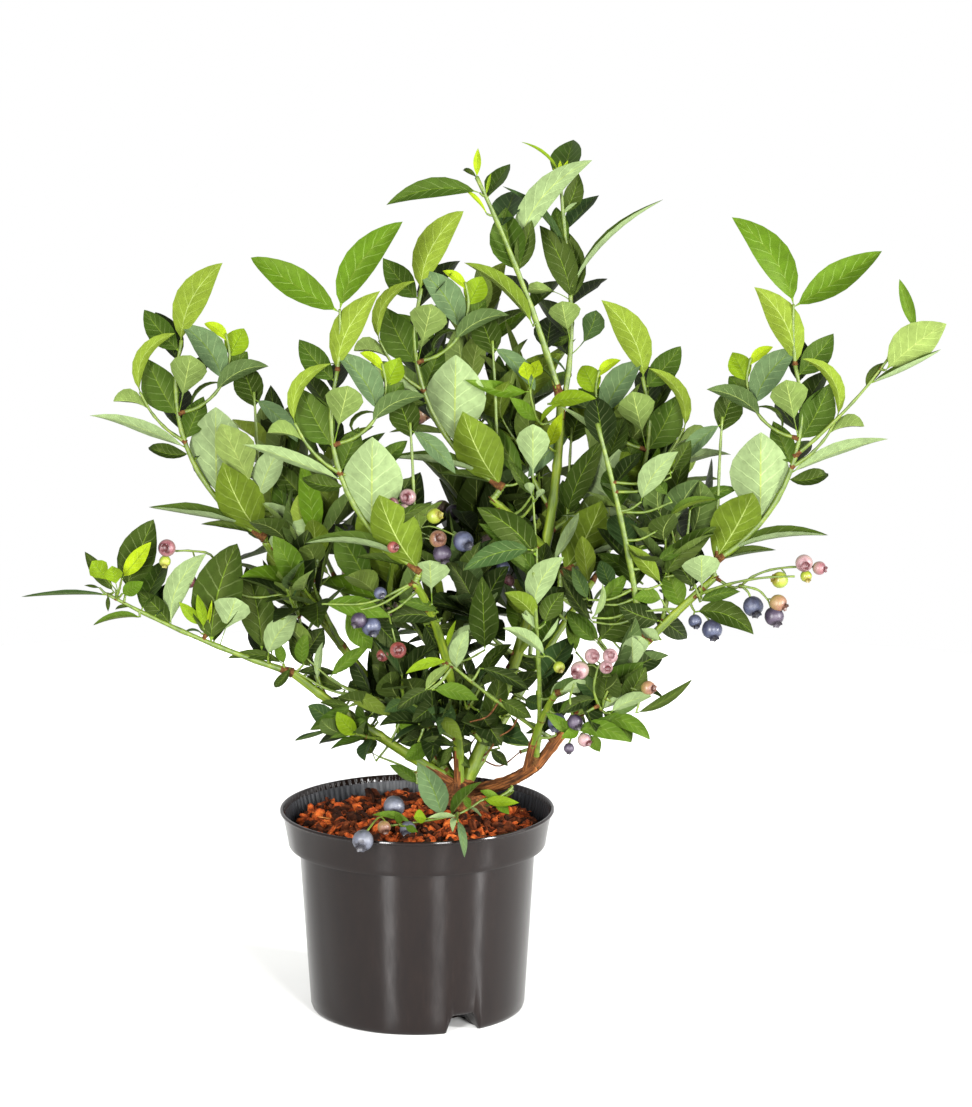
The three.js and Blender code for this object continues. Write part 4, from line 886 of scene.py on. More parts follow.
        (680, 612, 667, 570, 12, 26, 0.8, 0, "m", 0),
        (661, 640, 640, 628, -6, 17, -0.7, 0, "w", 0.1),
        (662, 584, 627, 543, -6, 19, -0.8, 0, "m", 0),
        (700, 588, 664, 543, 10, 22, 0.8, 0, "o", 0),
        (600, 640, 567, 610, 6, 17, 0.8, 0, "f", 0),
        (593, 622, 560, 574, 8, 15, 0.7, 0, "o", 0.05),
        (592, 618, 605, 582, -4, 8, -0.6, 0, "s", -0.15),
        (588, 600, 572, 566, 4, 16, 0.8, 0, "t", 0),
        (612, 640, 640, 618, 18, 18, 0.8, 0, "f", 0),
        (690, 590, 700, 545, 20, 24, 0.8, 0, "o", 0),
        (612, 590, 600, 560, 24, 20, 0.8, 0, "t", 0),
        (640, 640, 612, 625, 26, 24, 0.8, 0, "t", 0),
        (650, 612, 690, 640, 30, 22, 0.8, 0, "o", 0),
        (598, 641, 642, 598, 10, 36, 0.95, 0, "d", 0),
        (597, 642, 565, 611, 4, 17, 0.9, 0, "f", 0.05),
        (576, 652, 570, 612, 8, 15, 0.8, 0, "m", 0),
        (600, 604, 628, 574, 8, 18, 0.8, 0, "m", 0),
    ],
    "right_spray": [
        (702, 599, 701, 555, -14, 40, -0.9, 1, "w", 0),
        (700, 602, 741, 590, -8, 15, 0.8, 0, "f", 0.08),
        (695, 612, 758, 632, -12, 28, 0.7, 0, "d", 0.15),
        (886, 370, 946, 322, -8, 42, -0.8, 0, "v", 0.04),
        (917, 332, 899, 279, 6, 15, 0.8, 2, "g", 0.02),
        (871, 384, 942, 350, -6, 15, 0.2, 4, "p", -0.05),
        (869, 388, 886, 361, 4, 11, 0.8, 0, "d", 0.1),
    ],
    "low_thin_shoot": [
        (449, 663, 404, 672, -8, 12, 0.6, 0, "y", -0.08),
        (456, 669, 467, 629, -10, 19, -0.8, 0, "w", 0.1),
        (425, 690, 449, 664, -6, 13, -0.5, 0, "q", 0.05),
        (432, 690, 480, 699, -6, 18, 0.7, 0, "m", 0.08),
        (430, 689, 395, 710, -6, 16, 0.7, 0, "o", -0.05),
        (480, 668, 531, 690, 2, 16, 0.7, 0, "o", 0.05),
        (505, 700, 532, 718, -4, 17, 0.8, 0, "d", 0),
    ],
    "centre_low_fill": [
        (465, 702, 500, 724, -4, 26, 0.8, 0, "o", 0),
        (500, 748, 470, 714, 0, 26, 0.8, 0, "o", 0),
        (440, 700, 470, 737, 2, 24, 0.9, 0, "o", 0),
        (500, 692, 541, 672, 2, 20, 0.8, 0, "o", 0),
        (505, 730, 523, 745, 0, 6, 0.6, 0, "d", 0.1),
        (510, 716, 521, 741, 0, 6, 0.6, 0, "d", 0.1),
        (538, 745, 526, 744, 0, 5, 0.6, 0, "d", 0.1),
        (540, 726, 525, 734, 0, 5, 0.6, 0, "d", 0.1),
    ],
    "low_left": [
        (418, 742, 458, 746, -10, 12, 0.6, 0, "o", 0.05),
        (426, 742, 405, 760, -10, 13, 0.5, 0, "m", 0),
        (410, 702, 379, 680, 4, 24, 0.9, 0, "o", 0),
        (402, 690, 372, 664, 6, 25, 0.9, 0, "o", 0),
        (425, 672, 395, 640, 4, 26, 0.9, 0, "o", 0),
        (452, 745, 441, 767, -4, 9, 0.8, 0, "d", 0),
        (455, 756, 469, 767, 0, 9, 0.8, 0, "d", 0),
        (398, 722, 420, 745, 0, 18, 0.9, 0, "o", 0),
        (322, 604, 392, 616, 4, 23, 0.8, 0, "m", 0.06),
        (442, 618, 390, 613, 6, 15, 0.6, 0, "o", 0.05),
        (304, 656, 324, 627, 8, 24, 0.9, 0, "o", 0),
        (330, 677, 370, 644, -2, 15, 0.8, 0, "m", 0.04),
        (372, 618, 402, 650, 12, 24, 0.9, 0, "o", 0),
        (345, 612, 372, 650, 14, 26, 0.9, 0, "m", 0),
        (424, 624, 440, 652, 12, 20, 0.9, 0, "o", 0),
        (296, 672, 338, 673, 6, 11, 0.6, 0, "o", 0.05),
        (376, 761, 366, 738, -8, 19, 0.9, 1, "o", 0),
        (352, 704, 310, 730, -4, 17, 0.8, 0, "f", 0.05),
        (372, 714, 330, 739, -6, 13, 0.8, 0, "f", 0.05),
        (350, 706, 320, 702, -2, 10, 0.7, 0, "d", 0),
        (343, 694, 393, 716, -10, 17, 0.9, 0, "q", 0.08),
    ],
    "low_right": [
        (597, 699, 561, 713, -8, 15, 0.7, 0, "o", -0.1),
        (624, 705, 646, 667, 0, 26, 0.9, 0, "d", 0),
        (636, 713, 694, 680, -6, 11, 0.7, 0, "d", -0.06),
        (610, 713, 653, 693, -10, 16, -0.8, 0, "w", 0.06),
        (600, 716, 634, 742, -8, 22, 0.8, 0, "f", 0.12),
        (585, 733, 616, 715, -4, 12, 0.7, 0, "f", 0),
        (626, 678, 640, 635, -10, 26, -0.9, 1, "w", 0),
        (604, 706, 608, 668, 4, 24, 0.9, 0, "d", 0),
        (633, 668, 632, 636, -10, 25, -0.9, 0, "p", 0),
        (618, 702, 645, 669, 8, 28, 0.9, 0, "d", 0),
        (600, 700, 575, 672, 12, 20, 0.8, 0, "t", 0),
        (596, 690, 560, 690, -4, 16, -0.8, 0, "p", -0.1),
        (605, 712, 645, 690, -6, 18, -0.7, 0, "w", 0.1),
        (600, 720, 655, 738, -6, 18, 0.8, 0, "m", 0.16),
        (575, 735, 545, 712, -6, 14, 0.8, 0, "m", 0),
        (580, 730, 562, 738, -10, 12, 0.7, 0, "g", 0),
        (590, 735, 600, 752, -8, 14, 0.8, 0, "m", 0),
        (549, 699, 580, 676, -4, 15, 0.9, 0, "w", 0.08),
        (558, 714, 593, 697, -2, 16, 0.8, 0, "f", 0.06),
        (574, 731, 635, 740, -8, 20, 0.8, 0, "m", 0.14),
        (604, 716, 602, 688, 6, 14, 0.9, 0, "m", 0),
        (612, 714, 642, 700, -4, 14, 0.8, 0, "w", 0.04),
        (566, 690, 596, 690, 8, 16, 0.8, 0, "o", 0),
    ],
    "low_centre": [
        (396, 736, 416, 712, -8, 17, 0.8, 0, "g", 0.05),
        (438, 716, 463, 741, -16, 15, 0.7, 0, "q", 0.05),
        (452, 742, 416, 742, -18, 11, 0.6, 0, "g", -0.08),
        (428, 744, 407, 759, -14, 17, 0.8, 0, "m", 0),
        (450, 748, 438, 768, -14, 16, 0.8, 0, "d", 0),
        (455, 752, 470, 768, -12, 12, 0.7, 0, "d", 0),
        (452, 750, 463, 736, -14, 8, 0.5, 0, "m", 0),
        (494, 752, 508, 766, -4, 13, 0.7, 0, "o", 0),
        (478, 710, 502, 746, -16, 30, 0.8, 0, "o", 0),
        (470, 708, 460, 738, -18, 24, 0.8, 0, "o", 0.05),
        (450, 700, 440, 735, -14, 22, 0.8, 0, "t", 0),
        (440, 700, 412, 722, -14, 20, 0.8, 0, "o", 0),
        (466, 690, 446, 718, -16, 20, 0.8, 0, "o", 0),
        (490, 700, 470, 722, -16, 18, 0.8, 0, "t", 0),
        (470, 740, 452, 752, -14, 16, 0.8, 0, "o", 0),
        (430, 730, 400, 744, -16, 20, 0.8, 0, "o", 0.1),
        (420, 716, 452, 712, -18, 16, 0.7, 0, "t", 0),
        (405, 700, 384, 712, -10, 14, 0.8, 0, "t", 0),
        (512, 734, 523, 744, -6, 5, 0.4, 5, "d", 0.1),
        (546, 734, 527, 730, -6, 5, 0.4, 5, "d", 0.1),
        (541, 741, 525, 745, -6, 5, 0.4, 5, "d", 0.1),
        (520, 712, 500, 700, -6, 14, 0.7, 0, "o", 0),
        (545, 706, 536, 690, 0, 12, 0.7, 0, "g", 0),
        (524, 700, 544, 706, -4, 18, 0.8, 0, "t", 0),
        (541, 634, 563, 598, 4, 20, 0.9, 0, "d", 0),
        (541, 636, 558, 612, 10, 26, 0.9, 0, "w", 0.1),
        (528, 640, 508, 592, 10, 24, 0.9, 0, "m", 0),
        (541, 656, 520, 668, 8, 20, 0.9, 0, "m", 0),
        (500, 652, 540, 668, 4, 16, 0.8, 0, "o", 0),
        (543, 672, 566, 640, 14, 18, 0.9, 0, "o", 0),
    ],
}


def stream(seed):
    """A stream of numbers 0..1 from a whole-number seed, by 32-bit mixing."""
    state = seed

    def draw():
        nonlocal state
        state = (state + 0x6D2B79F5) & 0xFFFFFFFF
        t = ((state ^ state >> 15) * (state | 1)) & 0xFFFFFFFF
        t = (t + (t ^ t >> 7) * (t | 61) & 0xFFFFFFFF) ^ t
        return ((t ^ t >> 14) & 0xFFFFFFFF) / 4294967296

    return draw


def square_to(way):
    """Two directions square to a way and to each other."""
    a = unit(np.cross(way, [1.0, 0, 0] if abs(way[2]) > 0.9 else [0.0, 0, 1]))
    return a, np.cross(way, a)


def grown_out(mass, shoot, k, count, seed, size):
    """A leaf by the seeded rule: leaves wind round the shoot by the golden angle and open less towards
    its tip."""
    draw = stream(seed)
    t = min(LAST, 0.22 + 0.78 * (k + 0.6) / count)
    foot, way, _ = along(shoot, t)
    a, b = square_to(way)
    around = math.radians(k * 137.5 + shoot["key"] * 60 + (draw() - 0.5) * 40)
    opening = math.radians(66 - 34 * t + (draw() - 0.5) * 22)
    out = a * math.cos(around) + b * math.sin(around)
    d = unit(way * math.cos(opening) + out * math.sin(opening) + [0, 0, 0.12])
    inward = way * math.sin(opening) - out * math.cos(opening) + [0, 0, 0.55]
    n = unit(inward - d * (inward @ d))
    length = size * (0.72 + 0.36 * math.sin(math.pi * (0.2 + 0.65 * t)) + 0.24 * draw())
    wide = length * (0.34 + 0.18 * draw())
    young = t > 0.93 and draw() < 0.3
    shade = mass["deal"][int(draw() * len(mass["deal"]))]
    bow = np.cross(d, n) * (draw() - 0.5) * 0.24
    if young:
        return foot, d, n, length * 0.8, wide, 2, "y", bow
    return foot, d, n, length, wide, 0, shade, bow


def stood_off(d, way):
    """A leaf's direction, turned away from its twig's where the two are closer than STAND_OFF."""
    cosine = math.cos(math.radians(STAND_OFF))
    if d @ way < cosine:
        return d
    return way * cosine + unit(d - way * (d @ way)) * math.sin(math.radians(STAND_OFF))


def faced(foot, d, length, width, face, form, shade, bow):
    """A leaf whose upper side looks to the front by `face`, and whose midrib bows to its left seen
    from there."""
    look = np.array([0, -face, 1 - abs(face)])
    swing = np.cross(d, [0.0, 1, 0]) * bow
    return foot, d, unit(look - d * (look @ d)), length, width, form, shade, swing


def dress(mass, index):
    """Grows one mass on its limb: returns its shoots and its leaves."""
    mirror = mass.get("mirror")

    def turn(sway):
        return (180 - sway[0], 180 - sway[1], *sway[2:]) if mirror else sway

    foot = along(limbs[mass["limb"]], mass.get("at", 1))[0]
    across, up = mass.get("lift", (0, 0))
    base = foot + [across, 0, up]
    steps = 6 if mass["sway"][4] > 80 else 3
    thick = mass.get("thick", (1.9, 1.1))
    stem = dict(line=grow(base, turn(mass["sway"]), steps), r=thick, rows=mass.get("rows", []), key=0)
    shoots, leaves = [stem], []
    if up:
        link = np.array([foot, (foot + stem["line"][0]) / 2, stem["line"][0] + [0, 0, 2]])
        shoots.append(dict(line=link, r=(thick[0], thick[0]), rows=[], key=0))
    for k, twig in enumerate(mass.get("twigs", [])):
        line = grow(along(stem, twig["at"])[0], turn(twig["sway"]), 5 if twig["sway"][4] > 60 else 3)
        shoots.append(dict(line=line, r=(1.5, 1.0), rows=twig["rows"], key=k + 1))
    count, each, size = mass.get("fill", (0, 0, 0))
    draw = stream(7919 * (index + 1))
    for k in range(count):
        t = 0.12 + 0.78 * (k + draw() * 0.8) / count
        foot, d, _ = along(stem, t)
        around = math.radians(k * 137.5 + draw() * 40)
        a, b = square_to(d)
        out = a * math.cos(around) + b * math.sin(around)
        way = unit(d * (0.62 + 0.2 * draw()) + out * 0.75 + [0, 0, 0.15])
        azimuth, lean = math.degrees(math.atan2(way[1], way[0])), math.degrees(math.acos(way[2]))
        length = max(34, mass["sway"][4] * (0.5 - 0.22 * t) * (0.8 + 0.4 * draw()))
        line = grow(foot, (azimuth, azimuth, lean, lean - 14, length), 2)
        shoots.append(dict(line=line, r=(1.3, 0.8), rows=[], key=k + 1, seeded=each))
    stem["seeded"] = round(each * 1.6)
    for shoot in shoots:
        for at, azimuth, lean, length, width, face, form, shade, bow in shoot["rows"]:
            foot, way, _ = along(shoot, min(at, LAST))
            d = heading(180 - azimuth if mirror else azimuth, lean)
            d = stood_off(d, way) if at < 0.95 else d
            leaves.append(faced(foot, d, length, width, face, form, shade, -bow if mirror else bow))
        for k in range(shoot.get("seeded", 0)):
            seed = 15485863 + 7907 * index + 101 * shoot["key"] + k
            leaves.append(grown_out(mass, shoot, k, shoot["seeded"], seed, size))
    count = mass.get("rear", 0)
    draw = stream(32452843 + 7907 * index)
    for k in range(count):
        t = 0.1 + 0.84 * (k + draw()) / count
        foot, way, _ = along(stem, t)
        d = stood_off(heading(90 + (draw() - 0.5) * 90, 66 - 26 * t + 18 * draw()), way)
        length = 44 + 20 * draw()
        # rear leaves take the dark letters of the deep deal: painted shade behind the stem, with the leaves'
        # own dark green
        leaves.append(faced(foot, d, length, length * 0.44, 0, 0, DEEP_DARK_AND_SHADE[k % len(DEEP_DARK_AND_SHADE)], 0))
    return shoots, leaves


def sighted(x, y, depth):
    """The point at that y coordinate which the camera sees at a pixel: along the ray through the
    pixel, from the eye, turned down by the camera's pitch."""
    across = (x - FRAME_CENTRE[0]) / FOCAL
    up = (FRAME_CENTRE[1] - y) / FOCAL
    c, s = math.cos(math.radians(EYE_PITCH)), math.sin(math.radians(EYE_PITCH))
    way = np.array([across, c + up * s, up * c - s])
    return np.array(EYE, float) + way * (depth - EYE[1]) / way[1]


def pixels(points):
    """Where the camera sees points, in pixels: the turn by its pitch, then the division by depth."""
    away = np.asarray(points, float) - EYE
    c, s = math.cos(math.radians(EYE_PITCH)), math.sin(math.radians(EYE_PITCH))
    deep = away[:, 1] * c - away[:, 2] * s
    x = FRAME_CENTRE[0] + FOCAL * away[:, 0] / deep
    y = FRAME_CENTRE[1] - FOCAL * (away[:, 1] * s + away[:, 2] * c) / deep
    return np.stack([x, y], -1)


def nearest(shoots, x, y):
    """The point of the shoots that is nearest to a pixel, seen from the front."""
    lines = np.concatenate([curve(shoot["line"], 24) for shoot in shoots])
    return lines[np.argmin(np.hypot(*(pixels(lines) - [x, y]).T))]


def carried(shoots, x, y, behind):
    """A root seen at a pixel, and the twig that carries it: the nearest point of the shoots gives the
    depth, and a root that isn't on it gets a twig of its own."""
    near = nearest(shoots, x, y)
    gap = np.hypot(*(pixels(near[None])[0] - [x, y]))
    if gap < 5:
        return near, []
    root = sighted(x, y, near[1] + behind / 2)
    sag = [0, 0, -0.1 * np.linalg.norm(root - near)]
    return root, [dict(line=np.array([near, (near + root) / 2 + sag, root]), r=(1.2, 0.8))]


# Finer shoots that are given where the camera sees them, by mass: each starts at the nearest shoot; then
# x, y and how far behind that start it runs, mm.
THREADS = {
    "centre_fill": [[(541, 424, -14), (532, 402, -20), (530, 388, -22)]],
    "front_middle_shoot": [
        [(536, 588, 6), (537, 560, 6), (535, 530, 6), (533, 496, 4)],
        [(512, 788, -5), (497, 798, -11), (484, 799, -17), (470, 808, -27), (455, 815, -37),
            (425, 821, -43), (388, 826, -53)],
        [(512, 792, 10), (498, 801, 14), (486, 806, 18)],
        [(457, 813, -10), (457, 817, -32), (458, 822, -55)],
    ],
    "left_cane_shoot": [[(222, 590, 12), (213, 557, 12), (192, 551, 8), (176, 551, 4)]],
    "right_spray": [
        [(735, 588, -10), (752, 577, -14), (770, 570, -16), (792, 567, -18), (803, 568, -18)],
        [(741, 586, -12), (748, 592, -16), (751, 600, -18)],
        [(741, 586, -12), (758, 590, -16), (768, 600, -20)],
    ],
    "right_middle_shoot": [[(700, 598, -6), (690, 575, 0), (684, 560, 4)]],
    "left_skirt": [[(416, 772, -8), (398, 764, -10), (380, 757, -10)]],
    "low_right": [
        [(601, 712, -6), (604, 700, -10), (610, 688, -12), (618, 684, -12), (648, 694, -14)],
        [(600, 708, -8), (594, 690, -12), (598, 668, -14), (604, 662, -14)],
        [(575, 716, -4), (570, 700, -6), (574, 684, -8)],
    ],
}
# thin dead twigs low in the bush, the same way
DEAD = {
    "low_centre": [
        [(470, 768, 4), (462, 752, 8), (456, 738, 10)],
        [(474, 766, 2), (470, 748, 2), (477, 735, 0)],
        [(476, 762, 0), (488, 752, -6), (497, 738, -8)],
        [(480, 758, 10), (500, 766, 20), (520, 752, 30)],
        [(440, 762, -10), (430, 748, -16), (416, 742, -22)],
    ],
    "low_thin_shoot": [
        [(500, 700, 0), (488, 716, -6), (470, 722, -10)],
        [(520, 712, 4), (512, 728, 8), (500, 736, 10)],
    ],
}

# upper side and underside, by letter
LEAF_COLOURS = {
    "d": ("#162006", "#2c3818"),  # old and deep
    "f": ("#1c2a08", "#344018"),  # forest green
    "m": ("#26360a", "#34400e"),  # meadow green
    "g": ("#2a3c08", "#3c481c"),  # bright and full
    "b": ("#364608", "#404c14"),  # fresh
    "v": ("#3e4e1e", "#4a562a"),  # vivid and soft
    "s": ("#2e3c26", "#485434"),  # with a blue bloom
    "t": ("#1a2812", "#28341a"),  # blue bloom, deep
    "o": ("#0e1606", "#222c0e"),  # olive, darkened: painted shade for leaves deep and low in the bush
    "q": ("#303a10", "#3c4822"),  # sage
    "p": ("#1c2808", "#4e5a3c"),  # pale below
    "w": ("#283618", "#4a5638"),  # powdery below
    "l": ("#54620a", "#58641c"),  # youngest, lime
    "y": ("#3e4e08", "#48541c"),  # young
}
MIDRIBS = {"leaf_midrib_above": "#303e0c", "leaf_midrib_below": "#545e30", "leaf_stalk": "#3e5014"}
LEAF_PLACES = np.array([0, 0.025, 0.07, 0.14, 0.25, 0.37, 0.5, 0.63, 0.75, 0.86, 0.94, 1.0])
LEAF_ACROSS = np.array([-1, -0.5, -0.028, 0.028, 0.5, 1, 0.5, 0.028, -0.028, -0.5])
LEAF_SIDE = np.array([0, 1, 1, 1, 1, 0, -1, -1, -1, -1])
# round a leaf's section: 0 upper side, 1 underside, 2 and 3 the midrib of each
LEAF_SKINS = np.array([0, 0, 2, 0, 0, 1, 1, 3, 1, 1])
# stalk's share of the length, widest place, fold, bend and droop: 0 pointed, 1 spoon, 2 young, 3
# long-stalked, 4 folded, 5 curled, 6 cupped, 7 hanging over
FORMS = np.array(
    [
        (0.06, 0.45, 0.30, 0.10, 0.2),
        (0.34, 0.62, 0.22, 0.05, 0.1),
        (0.05, 0.50, 0.45, 0.15, 0.0),
        (0.28, 0.48, 0.22, 0.05, 0.1),
        (0.05, 0.42, 0.85, 0.05, 0.0),
        (0.05, 0.50, 0.60, 0.55, 0.9),
        (0.12, 0.62, 0.75, 0.25, 0.3),
        (0.05, 0.50, 0.70, 1.00, 0.0),
    ]
)


def leaf_skin(name, colour, gloss):
    """A leaf's skin: its own plain colour with paler side veins, which leave the midrib at a slant and
    fade out towards the margin, a fine mottle, and the veins' relief."""
    tint_of_gloss = linear("#cfe07c")
    made, tree, shader = finish(name,
        {"Roughness": gloss, "Specular IOR Level": 0.08, "Specular Tint": tint_of_gloss})
    uv = add(tree, "SeparateXYZ", {"Vector": add(tree, "UVMap", uv_map="surface").outputs["UV"]})
    out = add(tree, "Math", {0: uv.outputs["Y"]}, operation="ABSOLUTE")
    bent = add(tree, "Math", {0: out, 1: 0.8}, operation="POWER")
    slant = add(tree, "Math", {0: bent, 1: -0.2, 2: uv.outputs["X"]}, operation="MULTIPLY_ADD")
    place = add(tree, "TexCoord").outputs["Object"]
    blots = grain(tree, place, 7, detail=5.0, rough=0.65)
    stray = add(tree, "Math", {0: blots.outputs["Fac"], 1: 0.05, 2: slant}, operation="MULTIPLY_ADD")
    wave = add(tree, "Math", {0: add(tree, "Math", {0: stray, 1: 50.0}, operation="MULTIPLY")},
        operation="SINE")
    vein = add(tree, "MapRange", {"Value": wave, "From Min": 0.86, "From Max": 1.0})
    fade = add(tree, "MapRange",
        {"Value": out, "From Min": 0.1, "From Max": 0.95, "To Min": 0.34, "To Max": 0.04})
    shown = add(tree, "Math", {0: vein, 1: fade}, operation="MULTIPLY")
    rgb = linear(colour)[:3]
    mottled = blend(tree, blots, (0.3, [0.8 * c for c in rgb]), (0.7, [1.2 * c for c in rgb]))
    pale = (*(min(1, 1.5 * c + 0.07 * s) for c, s in zip(rgb, (1.0, 1.15, 0.5))), 1)
    tinted = add(tree, "MixRGB", {"Fac": shown, "Color1": mottled, "Color2": pale})
    tree.links.new(tinted.outputs[0], shader.inputs["Base Color"])
    relief = add(tree, "Bump", {"Height": vein, "Distance": 0.3 * MM, "Strength": 0.6})
    tree.links.new(relief.outputs[0], shader.inputs["Normal"])
    return made


leaf_skins = []
for letter, (upper, under) in LEAF_COLOURS.items():
    leaf_skins.append(leaf_skin(f"leaf_upper_{letter}", upper, 0.42 if letter in "dfgmo" else 0.5))
    leaf_skins.append(leaf_skin(f"leaf_under_{letter}", under, 0.6))
leaf_skins += [leaf_skin(name, colour, 0.5) for name, colour in MIDRIBS.items()]


def leaf_rings(foot, d, n, length, width, form, bow, seed):
    """All the blades at once, each a flattened tube whose section is a thin V: it widens from its
    stalk to the belly and narrows to the tip by a sine, bends up or down along its length, bows
    sideways by a parabola, droops at the tip, and ripples at the margin."""
    rng = np.random.default_rng(seed)
    count = len(foot)
    u = LEAF_PLACES
    stalk, belly, fold, bend, droop = FORMS[form].T[:, :, None]
    v = np.clip((u - stalk) / (1 - stalk), 0, 1)
    bulge = np.sin(math.pi * v ** (math.log(0.5) / np.log(belly))) ** rng.uniform(0.82, 1.05, (count, 1))
    half = np.maximum(width[:, None] / 2 * bulge, 0.5 * (1 - 0.8 * u))
    bend = bend + rng.normal(0, 0.1, (count, 1))
    droop = droop * np.abs(rng.normal(0, 1, (count, 1)))
    angle = bend * (1 - 2 * u) - droop * np.maximum(u - 0.72, 0) * 2.4
    twist = rng.normal(0, 0.14, (count, 1)) * (u - 0.2)
    way = d[:, None] * np.cos(angle)[..., None] + n[:, None] * np.sin(angle)[..., None]
    way = unit(way + bow[:, None] * 4 * (1 - 2 * u)[:, None])
    stretches = way * np.diff(u, prepend=0)[:, None]
    spine = foot[:, None] + np.cumsum(stretches, axis=1) * length[:, None, None]
    side = unit(np.cross(way, n[:, None]))
    up = np.cross(side, way)
    across = side * np.cos(twist)[..., None] + up * np.sin(twist)[..., None]
    up = np.cross(across, way)
    fold = np.clip(fold + rng.normal(0, 0.08, (count, 1)), 0.06, 1.0)[..., None]
    place = LEAF_ACROSS * half[..., None]
    wave = np.sin(rng.uniform(8, 15, (count, 1)) * u + rng.uniform(0, 6, (count, 1)))
    ripple = rng.uniform(0.01, 0.07, (count, 1)) * half * wave
    cup = 0.12 * half[..., None] * (1 - LEAF_ACROSS**2)
    lift = np.abs(place) * np.sin(fold) - cup + ripple[..., None] * LEAF_ACROSS * np.abs(LEAF_ACROSS)
    thick = 0.2 + 0.35 * np.exp(-np.abs(LEAF_ACROSS) * 9) + 0.3 * (u < 0.08)[:, None]
    rings = spine[:, :, None] + across[:, :, None] * (place * np.cos(fold))[..., None]
    rings = rings + up[:, :, None] * (lift + LEAF_SIDE * thick)[..., None]
    rings[:, 0], rings[:, -1] = spine[:, :1], spine[:, -1:]
    return rings


def leaves_piece(name, leaves, nodes):
    """One piece from the leaves of several masses. The faces of the upper side, the underside and the
    midrib get their own skins."""
    foot, d, n, bow = (np.array([leaf[i] for leaf in leaves], float) for i in (0, 1, 2, 7))
    length, width, form = (np.array([leaf[i] for leaf in leaves]) for i in (3, 4, 5))
    rings = leaf_rings(foot, d, n, length, width, form, bow, len(leaves))
    points, faces = shells(rings)
    below = faces[0].reshape(-1, len(LEAF_ACROSS), 4)[:, len(LEAF_ACROSS) // 2 :]
    below[:] = np.roll(below, 1, axis=-1)  # so that both sides of a blade fold along the same diagonals
    letters = list(LEAF_COLOURS)
    shade = np.array([2 * letters.index(leaf[6]) for leaf in leaves])
    rib = len(leaf_skins) - len(MIDRIBS)
    rows = len(LEAF_PLACES) - 3
    look = np.where(LEAF_SKINS > 1, rib + LEAF_SKINS - 2, shade[:, None] + LEAF_SKINS)
    look = look[:, None].repeat(rows, axis=1)
    bare = LEAF_PLACES[2 : 2 + rows] <= FORMS[form][:, :1] + 0.02
    look[bare] = rib + 2
    stalks = np.full((len(leaves), len(LEAF_SKINS)), rib + 2)
    tips = look[:, -1]
    shades = np.concatenate([look.reshape(-1), np.concatenate([stalks, tips], axis=1).reshape(-1)])
    uv_u = np.concatenate([[0], np.repeat(LEAF_PLACES[1:-1], len(LEAF_SKINS)), [1]])
    uv_v = np.concatenate([[0], np.tile(LEAF_ACROSS, rows + 1), [0]])
    uv = np.tile(np.stack([uv_u, uv_v], -1), (len(leaves), 1))
    made = mesh_object(name, points, faces, leaf_skins, shades, uv, crease=66)
    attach(made, "root")
    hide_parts(*nodes)


all_shoots, all_leaves = {}, {}
for index, mass in enumerate(MASSES):
    name = mass["name"]
    shoots, leaves = dress(mass, index)
    carriers = [*shoots, limbs[mass["limb"]]]
    alive = len(THREADS.get(name, []))
    for k, thread in enumerate([*THREADS.get(name, []), *DEAD.get(name, [])]):
        start = nearest(carriers, *thread[0][:2])
        line = [start, *(sighted(x, y, start[1] + behind) for x, y, behind in thread)]
        shoots.append(
            dict(line=np.array(line), r=(1.2, 0.8) if k < alive else (0.9, 0.5), dead=k >= alive))
        carriers.append(shoots[-1])
    for x0, y0, x1, y1, behind, width, face, form, shade, bow in SEEN.get(name, []):
        root, twig = carried(carriers, x0, y0, behind)
        shoots += twig
        way = sighted(x1, y1, root[1] + behind) - root
        length = np.linalg.norm(way)
        width *= (root[1] - EYE[1]) / FOCAL
        leaves.append(faced(root, way / length, length, width, face, form, shade, bow))
    all_shoots[name], all_leaves[name] = shoots, leaves
GROUPS = {
    "leaves_left": ("left_spray", "left_cane_shoot", "left_skirt", "left_inner", "left_middle"),
    "leaves_centre_left": ("centre_left_spray", "low_left", "centre_left_fill", "centre_spray"),
    "leaves_centre": ("tall_left_shoot", "tall_right_shoot", "front_middle_shoot", "low_thin_shoot",
        "low_centre"),
    "leaves_centre_inner": ("centre_low_fill", "centre_fill", "right_centre_fill", "centre_right_spray"),
    "leaves_right": ("right_spray", "right_middle_shoot", "right_fill", "right_fruit_twig", "low_right"),
    "leaves_back": tuple(m["name"] for m in MASSES if m["name"].startswith("back")),
}
for group, names in GROUPS.items():
    leaves_piece(group, [leaf for name in names for leaf in all_leaves[name]], names)

# Twigs: round, green where they are young, with a little brown collar where they start.
TWIG_RINGS = 16
TWIG_CORNERS = 7
twig_skin, tree, shader = finish("green_twig_skin", {"Roughness": 0.5, "Specular IOR Level": 0.3})
place = add(tree, "TexCoord").outputs["Object"]
tint = blend(tree, grain(tree, place, 6), (0.35, "#2c3a06"), (0.6, "#3e4c0a"), (0.75, "#4c5016"))
tree.links.new(tint.outputs[0], shader.inputs["Base Color"])
dead_skin = bark("dry_dead_twig", "#1c0d06", "#3a2110", "#5c3c20", 3)
shoots = [shoot for grown in all_shoots.values() for shoot in grown]
t = np.linspace(0, 1, TWIG_RINGS)
lines = np.array([curve(shoot["line"], TWIG_RINGS) for shoot in shoots])
r0, r1 = np.array([shoot["r"] for shoot in shoots]).T[:, :, None]
swell = 1 + 0.22 * np.cos(t * 2 * math.pi * 5) ** 8 + 0.5 * np.exp(-t * 14)
points, faces = shells(tubes(lines, (r0 + (r1 - r0) * t) * swell, TWIG_CORNERS))
collar = (t[:-1] < 0.05).repeat(TWIG_CORNERS)[None] | np.zeros((len(shoots), 1), bool)
